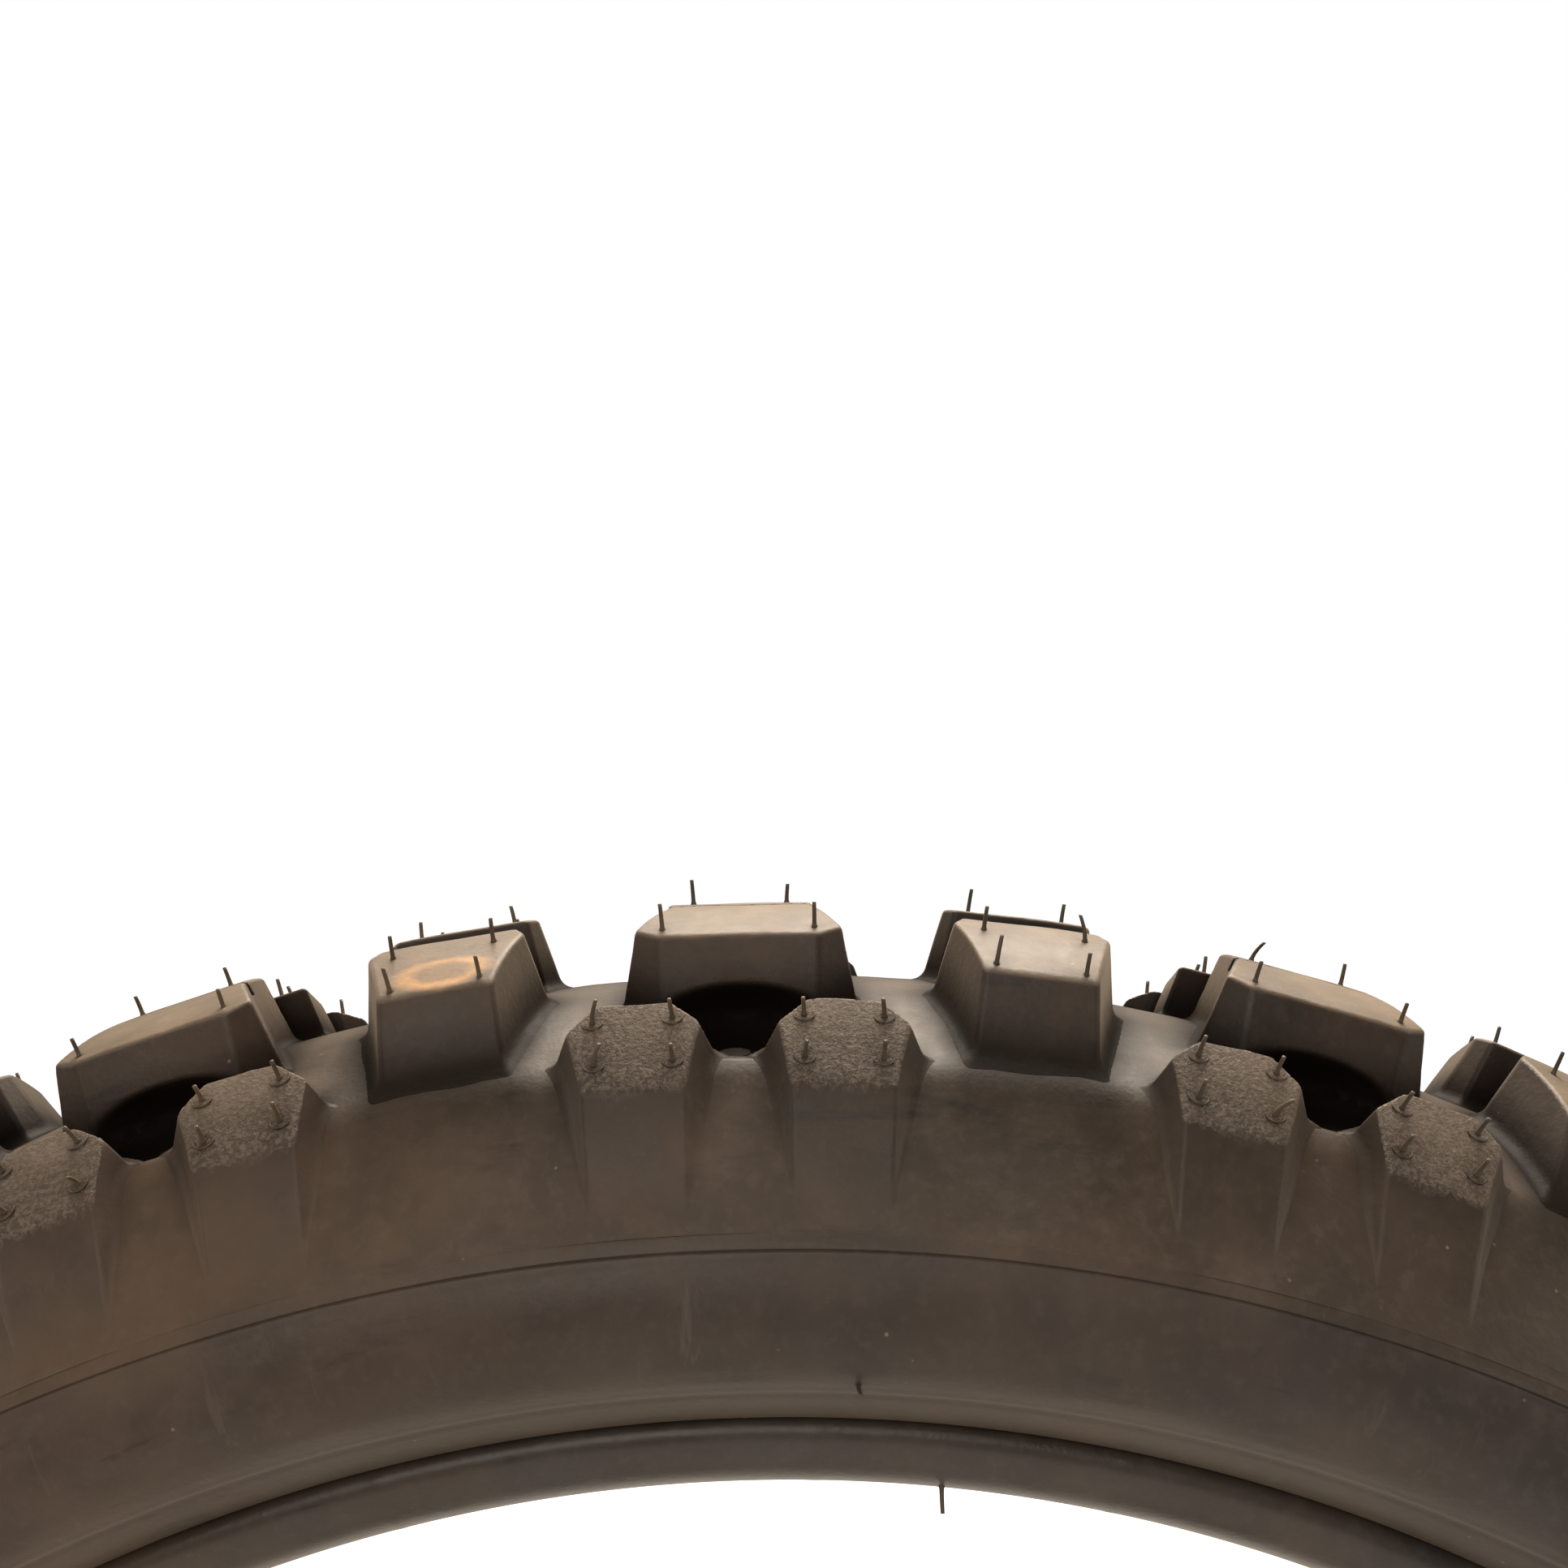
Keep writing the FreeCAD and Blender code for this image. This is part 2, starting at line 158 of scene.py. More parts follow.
def dish_dist(pts):
    x, y, z = split(pts)
    scaled = np.stack([x / DISH_RADII[0], (-y - DISH_CENTRE[0]) / DISH_RADII[1],
                       (z - DISH_CENTRE[1]) / DISH_RADII[2]], -1)
    return (np.sqrt((scaled ** 2).sum(-1)) - 1.0) * DISH_RADII[2]


def top_arc(pts):
    x, y, z = split(pts)
    return np.hypot(y, np.hypot(x * TOP_STRETCH, z) - TOP_CENTRE) - TOP_ARC


def wobble(pts, height, wave, phase):
    """Slight unevenness of the moulding."""
    x, y, z = split(pts)
    return height * (np.sin(x / wave + phase) * np.cos(y / (wave * 1.3) + phase * 2.1)
                     + 0.6 * np.sin(z / (wave * 0.8) + x / (wave * 2.0) + phase * 0.7))


# Knob bodies. Corners are (x, y, z) on the +X half, with the knob at the top of the tyre.
def centre_body(pts, phase=0.0):
    """Wide head on the left (-Y), tail on the right; y is turned to grow to the head."""
    half = folded(pts, -1)
    inside = (0, 8, 318)
    head, ear, waist = (13.1, 19.2, 324.8), (16.9, 16.4, 326.2), (12.1, 0.8, 328.2)
    tail_start, tail_end = (12.3, -1.2, 328.2), (12.5, -9.5, 327.4)
    front = across(head, (0, 22.4, 312.0), inside)
    corner = plane(head, ear, (12.6, 22.4, 312.0), inside)
    flank = plane(ear, waist, (18.9, 16.4, 312.0), inside)
    tail = plane(tail_start, tail_end, (14.4, -1.2, 312.0), (0, -4, 318))
    end = across(tail_end, (0, -11.7, 312.0), inside)
    sides = smooth_min(plane_dist(half, flank), plane_dist(half, tail), 0.3)
    dist = smooth_max(walls(half, front, (corner, 0.4)), sides, 0.7)
    dist = smooth_max(dist, plane_dist(half, end), 0.7)
    dist = smooth_max(top_arc(pts), dist, 0.75)
    # narrow groove along x across the top
    x, y, z = split(pts)
    groove = np.maximum(np.abs(y) - 0.6, 325.6 - np.hypot(x, z))
    return smooth_max(dist, -groove, 0.3) + wobble(pts, 0.05, 2.7, phase)


def offset_body(pts, phase=0.0):
    """Lower, wider block on the right of each centre knob."""
    half = folded(pts)
    inside = (0, 20, 315)
    near, far = (17.4, 15.0, 323.4), (16.6, 25.5, 319.2)
    inner = across(near, (0, 13.4, 312.0), inside)
    flank = plane(near, far, (18.6, 15.0, 312.0), inside)
    outer = across(far, (0, 27.4, 310.0), inside)
    top = across((5, 15.0, 323.5), (0, 25.5, 319.3), inside)
    dist = walls(half, inner, (flank, 0.6), (outer, 0.7))
    domed_top = plane_dist(half, top) + 0.0012 * pts[..., 0] ** 2
    return smooth_max(domed_top, dist, 0.8) + wobble(pts, 0.05, 2.5, phase)


def intermediate_body(pts, phase=0.0):
    """Knob between the centre knobs, wider towards the centre plane."""
    half = folded(pts)
    inside = (0, 15, 315)
    far, ear, near = (9.2, 27.6, 321.7), (13.2, 10.5, 327.0), (11.6, 6.8, 327.2)
    outer = across(far, (0, 33.0, 309.4), inside)
    flank = plane(far, ear, (15.4, 11.0, 313.5), inside)
    corner = plane(ear, near, (15.4, 10.0, 313.5), inside)
    inner = across(near, (0, 4.6, 314.0), inside)
    dist = walls(half, outer, (flank, 0.9), (corner, 0.6), (inner, 0.7))
    return smooth_max(top_arc(pts), dist, 0.75) + wobble(pts, 0.05, 2.9, phase)


def shoulder_top(half, side):
    """The two top faces of a shoulder knob."""
    near, ear, far = SHOULDER_CORNERS[side][:3]
    return walls(half, across(near, (0, ear[1], ear[2]), SHOULDER_INSIDE),
                 (across(ear, (0, far[1], far[2]), SHOULDER_INSIDE), 1.2))


def shoulder_body(side):
    near, ear, far, foot, inner_foot = SHOULDER_CORNERS[side]
    edge = (far[0], far[1] - 0.1, far[2] - 0.2)
    outer = across(edge, (0, foot[1], foot[2]), SHOULDER_INSIDE)
    flank = plane(ear, far, foot, SHOULDER_INSIDE)
    corner = plane(near, ear, (inner_foot, 30.2, 308.0), SHOULDER_INSIDE)
    inner = across(near, (0, 29.8, 308.0), SHOULDER_INSIDE)

    def body(pts, phase=0.0):
        half = folded(pts)
        dist = smooth_max(shoulder_top(half, side), plane_dist(half, outer), 0.25)
        dist = smooth_max(dist, walls(half, flank, (corner, 0.6), (inner, 0.6)), 0.45)
        return dist + wobble(pts, 0.06, 2.2, phase)
    return body


def knob_field(body, fillet, skirt, depth, cut, phase, outer_fillet):
    """Knob with its root radius and a skirt of base round it, closed depth below the base."""
    def field(pts):
        knob = body(pts, phase)
        base = base_dist(pts)
        w = np.abs(pts[..., 1])
        root = fillet
        if outer_fillet is not None:   # the root radius runs out towards the sidewall
            root = fillet + (outer_fillet - fillet) * np.clip((w - 40.0) / 9.0, 0, 1)
        dist = smooth_min(knob, base + 0.05 + 0.5 * np.maximum(knob - 0.75 * root, 0.0), root)
        if cut is not None:
            dist = smooth_max(dist, -cut(pts), DISH_BLEND)
        dist = np.maximum(dist, knob - skirt)
        dist = np.maximum(dist, w - 52.4)
        return np.maximum(dist, -(base + depth))
    return field


# ------------------------------------------------------------------ surface nets
def gradient(field, pts, step=0.05):
    slope = np.zeros_like(pts)
    for i in range(3):
        shift = np.zeros(3)
        shift[i] = step
        slope[:, i] = (field(pts + shift) - field(pts - shift)) / (2 * step)
    return slope


def surface_nets(field, low, high, cell):
    """Vertices and quads of the surface field = 0, from a grid of cubic cells."""
    size = [int(math.ceil((high[i] - low[i]) / cell)) + 1 for i in range(3)]
    axes = [low[i] + cell * np.arange(size[i]) for i in range(3)]
    values = field(np.stack(np.meshgrid(*axes, indexing="ij"), -1))
    cells = tuple(n - 1 for n in size)

    # one vertex per crossed cell, at the mean of the crossings on its edges
    total = np.zeros(cells + (3,))
    count = np.zeros(cells)
    for start in np.ndindex(2, 2, 2):
        for axis in range(3):
            if start[axis] == 1:
                continue
            end = list(start)
            end[axis] = 1
            at_start, at_end = (values[tuple(slice(c, c + n) for c, n in zip(corner, cells))]
                                for corner in (start, end))
            crossed = (at_start < 0) != (at_end < 0)
            share = np.where(crossed, at_start / np.where(crossed, at_start - at_end, 1.0), 0.0)
            place = np.zeros(total.shape)
            for i in range(3):
                place[..., i] = start[i] + (share if i == axis else 0.0)
            total += np.where(crossed[..., None], place, 0.0)
            count += crossed
    active = count > 0
    index = -np.ones(cells, int)
    index[active] = np.arange(active.sum())
    verts = (np.argwhere(active) + total[active] / count[active][:, None]) * cell + np.array(low)

    # one quad per crossed grid edge, joining the four cells round it
    solid = values < 0
    faces = []
    for axis in range(3):
        side1, side2 = (axis + 1) % 3, (axis + 2) % 3
        edges = np.argwhere(np.diff(solid, axis=axis))
        edges = edges[(edges[:, side1] > 0) & (edges[:, side2] > 0)
                      & (edges[:, side1] < size[side1] - 1)
                      & (edges[:, side2] < size[side2] - 1)]
        quads = []
        for back1, back2 in ((1, 1), (0, 1), (0, 0), (1, 0)):
            around = edges.copy()
            around[:, side1] -= back1
            around[:, side2] -= back2
            quads.append(index[tuple(around.T)])
        quads = np.stack(quads, -1)
        flip = ~solid[tuple(edges.T)]
        quads[flip] = quads[flip][:, ::-1]
        faces.append(quads)

    # short Newton steps onto the surface
    for _ in range(3):
        dist, slope = field(verts), gradient(field, verts)
        step = -(dist / ((slope ** 2).sum(-1) + 1e-9))[:, None] * slope
        length = np.linalg.norm(step, axis=1)
        step *= np.minimum(1.0, 0.35 * cell / np.maximum(length, 1e-9))[:, None]
        verts = verts + step
    return verts, np.concatenate(faces)


# ------------------------------------------------------------------ mesh makers
def mesh_object(name, verts, faces, normals=None):
    """Smooth object from vertices in mm; faces are an (n, 3|4) array or a list of tuples."""
    mesh = bpy.data.meshes.new(name)
    verts = np.asarray(verts, float) * MM
    if isinstance(faces, np.ndarray):
        count, corners = faces.shape
        loops = count * corners
        mesh.vertices.add(len(verts))
        mesh.vertices.foreach_set("co", verts.astype(np.float32).ravel())
        mesh.loops.add(loops)
        mesh.loops.foreach_set("vertex_index", faces.astype(np.int32).ravel())
        mesh.polygons.add(count)
        mesh.polygons.foreach_set("loop_start", np.arange(0, loops, corners, dtype=np.int32))
        mesh.update(calc_edges=True)
    else:
        mesh.from_pydata(verts.tolist(), [], faces)
    mesh.validate()
    mesh.polygons.foreach_set("use_smooth", np.full(len(mesh.polygons), True))
    # validate() may drop faces, and corner data would then be out of step
    if normals is not None and len(normals) == len(mesh.loops):
        mesh.normals_split_custom_set(np.asarray(normals, float).tolist())
    ob = bpy.data.objects.new(name, mesh)
    bpy.context.scene.collection.objects.link(ob)
    return ob


def set_attribute(ob, name, domain, values):
    attribute = ob.data.attributes.new(name, "FLOAT", domain)
    # left at zero where validate() has changed the number of elements
    if len(attribute.data) == len(values):
        attribute.data.foreach_set("value", np.ascontiguousarray(values, dtype=np.float32))


def decimated(verts, quads, target):
    """The mesh brought down to about target triangles."""
    ob = mesh_object("knob_draft", verts, quads)
    ob.modifiers.new("triangulate", "TRIANGULATE")
    ob.modifiers.new("decimate", "DECIMATE").ratio = min(1.0, target / (2.0 * len(quads)))
    evaluated = ob.evaluated_get(bpy.context.evaluated_depsgraph_get())
    mesh = evaluated.to_mesh()
    places = np.zeros(len(mesh.vertices) * 3, np.float32)
    mesh.vertices.foreach_get("co", places)
    mesh.calc_loop_triangles()
    triangles = np.zeros(len(mesh.loop_triangles) * 3, np.int32)
    mesh.loop_triangles.foreach_get("vertices", triangles)
    evaluated.to_mesh_clear()
    draft = ob.data
    bpy.data.objects.remove(ob)
    bpy.data.meshes.remove(draft)
    return places.reshape(-1, 3).astype(float) / MM, triangles.reshape(-1, 3)


def rotated(verts, angle):
    """Turned about the spin axis, from +Z towards +X."""
    cos, sin = math.cos(angle), math.sin(angle)
    out = verts.copy()
    out[:, 0] = cos * verts[:, 0] + sin * verts[:, 2]
    out[:, 2] = -sin * verts[:, 0] + cos * verts[:, 2]
    return out


def turned(w, r, angle):
    """Points from section places and angles about the spin axis."""
    return np.stack([r * np.sin(angle), w, r * np.cos(angle)], -1)


def ring_faces(columns, count):
    """Quads between neighbouring columns of a closed section of count points."""
    i = np.arange(columns)[:, None]
    j = np.arange(count)[None, :]
    here, there, after = i * count, ((i + 1) % columns) * count, (j + 1) % count
    quads = np.stack([here + j, here + after, there + after, there + j], -1)
    return quads.reshape(-1, 4)


def lathe(name, section, columns, displace=None):
    """Closed section (w, r) turned about Y, its points run so that faces point outwards."""
    section = np.array(section, float)
    w, r = section.T
    if 0.5 * np.sum(w * np.roll(r, -1) - np.roll(w, -1) * r) < 0:
        section = section[::-1]
    count = len(section)
    w, r = np.tile(section[:, 0], columns), np.tile(section[:, 1], columns)
    angle = np.repeat(np.arange(columns) * 2 * math.pi / columns, count)
    if displace is not None:
        w, r = displace(w, r, angle)
    return mesh_object(name, turned(w, r, angle), ring_faces(columns, count))


def spline(stations, spacing):
    """Catmull-Rom points through the stations at about the given spacing."""
    known = np.array(stations, float)
    ext = np.vstack([2 * known[0] - known[1], known, 2 * known[-1] - known[-2]])
    out = []
    for i in range(1, len(ext) - 2):
        p0, p1, p2, p3 = ext[i - 1:i + 3]
        steps = max(1, int(round(np.linalg.norm(p2 - p1) / spacing)))
        for t in np.arange(steps) / steps:
            out.append(0.5 * ((2 * p1) + (-p0 + p2) * t + (2 * p0 - 5 * p1 + 4 * p2 - p3) * t ** 2
                              + (-p0 + 3 * p1 - 3 * p2 + p3) * t ** 3))
    out.append(known[-1])
    return [tuple(p) for p in out]


def other_half(section):
    """The section mirrored in the centre plane and reversed, without points on the plane."""
    return [(-w, r) for w, r in reversed(section) if w > 1e-9]


# ------------------------------------------------------------------ node graphs
class Graph:
    """A material with a Principled shader, and short calls that add nodes to it."""

    def __init__(self, name, textured=True):
        self.material = bpy.data.materials.new(name)
        self.material.use_nodes = True
        self.tree = self.material.node_tree
        self.tree.nodes.clear()
        output = self.node("OutputMaterial")
        self.shader = self.node("BsdfPrincipled")
        self.feed(output, {0: self.shader.outputs[0]})
        if textured:
            self.coords = self.node("TexCoord").outputs["Object"]

    def feed(self, node, inputs):
        """Links sockets to the inputs, or sets the inputs to values."""
        for key, value in inputs.items():
            if isinstance(value, bpy.types.NodeSocket):
                self.tree.links.new(value, node.inputs[key])
            else:
                node.inputs[key].default_value = value

    def node(self, kind, inputs={}, **settings):
        node = self.tree.nodes.new("ShaderNode" + kind)
        for key, value in settings.items():
            setattr(node, key, value)
        self.feed(node, inputs)
        return node

    def mapping(self, source, rot, scale=(1, 1, 1)):
        inputs = {0: source, "Scale": scale, "Rotation": rot}
        return self.node("Mapping", inputs).outputs[0]

    def noise(self, scale, detail, rough=0.55, at=None, distort=0.0):
        inputs = {"Scale": scale, "Detail": detail, "Roughness": rough, "Distortion": distort,
                  "Vector": at or self.coords}
        return self.node("TexNoise", inputs).outputs["Fac"]

    def ramp(self, value, *stops):
        """Colour ramp; stops are (position, grey or colour)."""
        node = self.node("ValToRGB", {0: value})
        elements = node.color_ramp.elements
        elements.remove(elements[-1])
        for i, (position, colour) in enumerate(stops):
            if not isinstance(colour, tuple):
                colour = (colour,) * 3
            element = elements[0] if i == 0 else elements.new(position)
            element.position = position
            element.color = (*colour, 1)
        return node.outputs[0]

    def mix(self, under, over, share, mode="MIX"):
        inputs = {0: share}
        for key, colour in ((6, under), (7, over)):
            inputs[key] = (*colour, 1) if isinstance(colour, tuple) else colour
        return self.node("Mix", inputs, data_type="RGBA", blend_type=mode).outputs[2]

    def math(self, operation, first, second=0.0, clamp=False):
        inputs = {0: first, 1: second}
        return self.node("Math", inputs, operation=operation, use_clamp=clamp).outputs[0]

    def mul(self, first, second):
        return self.math("MULTIPLY", first, second)

    def add(self, first, second, clamp=False):
        return self.math("ADD", first, second, clamp)

    def sub(self, first, second, clamp=False):
        return self.math("SUBTRACT", first, second, clamp)

    def attribute(self, name):
        return self.node("Attribute", attribute_name=name).outputs["Fac"]

    def xyz(self):
        return self.node("SeparateXYZ", {0: self.coords}).outputs

    def polar(self):
        """(angle * 0.3 m, y, r), so that patterns follow the ring, and r alone."""
        x, y, z = self.xyz()
        r = self.math("SQRT", self.add(self.mul(x, x), self.mul(z, z)))
        angle = self.math("ARCTAN2", x, z)
        arc = self.mul(angle, 0.3)
        return self.node("CombineXYZ", {0: arc, 1: y, 2: r}).outputs[0], r

    def bump(self, height, distance, strength=1.0, under=None):
        inputs = {"Strength": strength, "Distance": distance, "Height": height}
        if under is not None:
            inputs["Normal"] = under
        return self.node("Bump", inputs).outputs[0]


# ------------------------------------------------------------------ rubber
# (dark, mid, light) tones of the tread base, also used at the knob roots
BASE_TONES = ((0.032, 0.0245, 0.0185), (0.054, 0.041, 0.031), (0.085, 0.064, 0.048))


def tone_ramp(net, clouds, tones):
    return net.ramp(clouds, *zip((0.36, 0.5, 0.64), tones))


def scuffs(net, polar, amount):
    """Mask of slanting light scuffs."""
    at = net.mapping(polar, scale=(300, 300, 26), rot=(0.0, 0.5, 0.3))
    lines = net.ramp(net.noise(scale=1.0, detail=3, rough=0.7, at=at), (0.60, 0.0), (0.70, 1.0))
    patches = net.ramp(net.noise(scale=22.0, detail=3), (0.48, 0.0), (0.62, amount))
    return net.mul(lines, patches)


def dark_streaks(net, polar):
    """Mask of dark streaks that slant the other way."""
    at = net.mapping(polar, scale=(34, 34, 210), rot=(0.0, -0.62, 0.2))
    lines = net.noise(scale=1.0, detail=4, rough=0.62, at=at, distort=0.3)
    lines = net.ramp(lines, (0.58, 0.0), (0.68, 0.75))
    patches = net.ramp(net.noise(scale=16.0, detail=2), (0.45, 0.0), (0.6, 1.0))
    return net.mul(lines, patches)


def rust_ring(net, top):
    """Mask of the rusty ring, on the left intermediate knob half a pitch to -X of the top."""
    angle = FIRST_ANGLE - PITCH / 2
    cos, sin = math.cos(angle), math.sin(angle)
    x, y, z = net.xyz()
    local_x = net.sub(net.mul(x, cos), net.mul(z, sin))
    local_z = net.add(net.mul(x, sin), net.mul(z, cos))
    across_x = net.mul(net.sub(local_x, RUST_CENTRE[0] * MM), 1 / (RUST_RADII[0] * MM))
    across_y = net.mul(net.add(y, RUST_CENTRE[1] * MM), 1 / (RUST_RADII[1] * MM))
    reach = net.math("SQRT", net.add(net.mul(across_x, across_x), net.mul(across_y, across_y)))
    ragged = net.sub(net.noise(scale=300.0, detail=3, rough=0.6), 0.5)
    reach = net.add(reach, net.mul(ragged, 0.5))
    from_rim = net.math("ABSOLUTE", net.sub(reach, 1.0))
    rim = net.sub(1.0, net.mul(from_rim, 2.6), clamp=True)
    rust = net.add(rim, net.mul(net.math("LESS_THAN", reach, 1.0), 0.3), clamp=True)
    # only at the top of the tyre (metres)
    return net.mul(net.mul(rust, top), net.math("GREATER_THAN", local_z, 0.3))


def wear_and_highlight_tops(net, colour):
    """Knob tops painted lighter and warmer, partly wear and partly a painted highlight, with rust
    and specks; gives the colour and the height of the grain.
    """
    top, coarse = net.attribute("wear_and_highlight"), net.attribute("coarse")
    # lighter, warmer tops: part wear, part a painted highlight of the light grazing them
    wear_and_highlight = net.ramp(net.noise(scale=55.0, detail=5, rough=0.65), (0.35, (0.095, 0.067, 0.045)),
                    (0.55, (0.165, 0.118, 0.078)), (0.70, (0.26, 0.185, 0.118)))
    colour = net.mix(colour, wear_and_highlight, net.mul(top, 0.9))
    patches = net.ramp(net.noise(scale=160.0, detail=4, rough=0.6), (0.3, 0.35), (0.6, 0.9))
    colour = net.mix(colour, (0.62, 0.33, 0.12), net.mul(rust_ring(net, top), patches))
    specks = net.ramp(net.noise(scale=1300.0, detail=3, rough=0.75), (0.45, 0.0), (0.60, 1.0))
    colour = net.mix(colour, (0.26, 0.21, 0.165), net.mul(net.mul(specks, coarse), 0.6))
    return colour, net.mul(net.noise(scale=1500.0, detail=3, rough=0.75), coarse)


def rubber(name, tones, rough=(0.42, 0.62), sheen=0.25, dust=0.5, scuff=0.3, crevice_shade=0.88,
           knob=False, base_above=None):
    """Clouded, scuffed and dusty rubber, with painted shade at the knob roots and in hollows.

    tones are dark, mid and light; dust, scuff and crevice give the strengths of the specks,
    the scuffs and the painted shade in hollows. The base tones are used at the roots of a knob,
    or beyond the radius base_above (metres)."""
    net = Graph(name)
    dark, _, light = tones
    polar, radius = net.polar()
    broad = net.noise(scale=14.0, detail=5, rough=0.6, distort=0.4)
    medium = net.noise(scale=60.0, detail=6, rough=0.62)
    fine = net.noise(scale=420.0, detail=4, rough=0.6)
    clouds = net.add(net.mul(broad, 0.55), net.mul(medium, 0.45))
    colour = tone_ramp(net, clouds, tones)
    if knob:
        colour = net.mix(colour, tone_ramp(net, clouds, BASE_TONES), net.attribute("root"))
    if base_above is not None:
        colour = net.mix(colour, tone_ramp(net, clouds, BASE_TONES),
                         net.math("GREATER_THAN", radius, base_above))
    # slightly brown clouds
    brown = net.mix(colour, (1.25, 1.0, 0.74), 1.0, "MULTIPLY")
    patches = net.ramp(net.noise(scale=7.0, detail=4, rough=0.6), (0.42, 0.0), (0.6, 1.0))
    colour = net.mix(colour, brown, patches)
    scuffed = scuffs(net, polar, scuff)
    colour = net.mix(colour, tuple(min(1.0, c * 1.9 + 0.01) for c in light), scuffed)
    colour = net.mix(colour, tuple(c * 0.55 for c in dark), dark_streaks(net, polar))
    # brown bloom
    bloom = net.mul(net.ramp(fine, (0.5, 0.0), (0.75, 1.0)), 0.3)
    colour = net.mix(colour, tuple(c * 1.5 for c in light), bloom)
    if knob:
        colour, grain = wear_and_highlight_tops(net, colour)
    # painted shade at the roots of the knobs and on the base round them, nearly black
    root_shade = net.attribute("dark")
    colour = net.mix(colour, (0.0050, 0.0038, 0.0030), root_shade)
    # dust specks
    dots = net.node("TexVoronoi", {"Scale": 170.0, "Vector": net.coords}).outputs["Distance"]
    dots = net.ramp(dots, (0.03, 1.0), (0.065, 0.0))
    patches = net.ramp(net.noise(scale=36.0, detail=2), (0.52, 0.0), (0.6, dust))
    colour = net.mix(colour, (0.42, 0.34, 0.25), net.mul(dots, patches))
    # painted shade in the hollows, from an ambient occlusion node
    occlusion = net.node("AmbientOcclusion", {"Distance": 0.018}, samples=8)
    hollow_shade = net.ramp(occlusion.outputs["AO"], (0.30, 1.0), (0.66, 0.62), (0.93, 0.0))
    colour = net.mix(colour, (0.004, 0.003, 0.003), net.mul(hollow_shade, crevice_shade))

    roughness = net.ramp(net.add(net.mul(medium, 0.6), net.mul(fine, 0.4)),
                         (0.3, rough[0]), (0.7, rough[1]))
    # the painted shade at the roots and in the hollows also takes away the specular and the sheen
    shine = net.mul(net.sub(1.0, net.mul(root_shade, 0.95), clamp=True),
                    net.sub(1.0, net.mul(hollow_shade, 0.9 * crevice_shade), clamp=True))
    normal = net.bump(net.noise(scale=900.0, detail=3, rough=0.6), distance=0.00006)
    normal = net.bump(net.noise(scale=110.0, detail=4, rough=0.55), distance=0.0002,
                      strength=0.6, under=normal)
    if knob:
        normal = net.bump(grain, distance=0.00035, under=normal)
    net.feed(net.shader, {
        "Base Color": colour,
        "Roughness": net.add(roughness, net.mul(scuffed, 0.15), clamp=True),
        "Specular IOR Level": net.mul(shine, 0.5),
        "Sheen Weight": net.mul(shine, sheen),
        "Sheen Roughness": 0.4,
        "Sheen Tint": (1.0, 0.84, 0.66, 1),
        "Normal": normal})
    return net.material


RUBBERS = {
    "knob_rubber": dict(
        tones=((0.022, 0.0155, 0.0115), (0.038, 0.027, 0.020), (0.064, 0.046, 0.033)),
        sheen=0.45, knob=True),
    "tread_rubber": dict(tones=BASE_TONES, rough=(0.40, 0.58), sheen=0.45, crevice_shade=0.9),
    "sidewall_rubber": dict(
        tones=((0.033, 0.0265, 0.0235), (0.054, 0.0435, 0.038), (0.082, 0.065, 0.055)),
        sheen=0.28, scuff=0.45, crevice_shade=0.4, base_above=0.2836),
    "bead_rubber": dict(
        tones=((0.034, 0.029, 0.028), (0.050, 0.043, 0.040), (0.070, 0.059, 0.054)),
        rough=(0.30, 0.44), sheen=0.2, scuff=0.15, dust=0.2, crevice_shade=0.3),
    "liner_rubber": dict(
        tones=((0.016, 0.015, 0.014), (0.024, 0.022, 0.021), (0.036, 0.033, 0.031)),
        rough=(0.38, 0.52), sheen=0.06, scuff=0.1, dust=0.1),
    "spew_rubber": dict(
        tones=((0.045, 0.037, 0.028), (0.072, 0.060, 0.045), (0.115, 0.094, 0.070)),
        rough=(0.4, 0.55), sheen=0.2, dust=0.0, crevice_shade=0.2)}
MATERIALS = {name: rubber(name, **look) for name, look in RUBBERS.items()}


# ------------------------------------------------------------------ inner pieces
def plain(name, dark, light, scale, rough, bump, metal=0.0, weave=None):
    """Mottled material of two tones, with a woven pattern at the scale weave."""
    net = Graph(name)
    polar, _ = net.polar()
    mottle = net.noise(scale=scale, detail=5, rough=0.6, at=polar)
    colour = net.ramp(mottle, (0.35, dark), (0.65, light))
    height = mottle
    if weave:
        at = net.mapping(polar, rot=(0.0, 0.0, 0.6))
        wave = net.node("TexWave", {"Scale": weave, "Distortion": 0.4, "Vector": at})
        wave = wave.outputs["Fac"]
        height = net.add(net.mul(wave, 0.8), net.mul(mottle, 0.2))
        colour = net.mix(colour, tuple(c * 0.5 for c in dark), net.mul(wave, 0.5))
    net.feed(net.shader, {
        "Base Color": colour,
        "Roughness": net.ramp(mottle, (0.3, rough - 0.08), (0.7, rough + 0.08)),
        "Metallic": metal,
        "Normal": net.bump(height, distance=bump)})
    return net.material


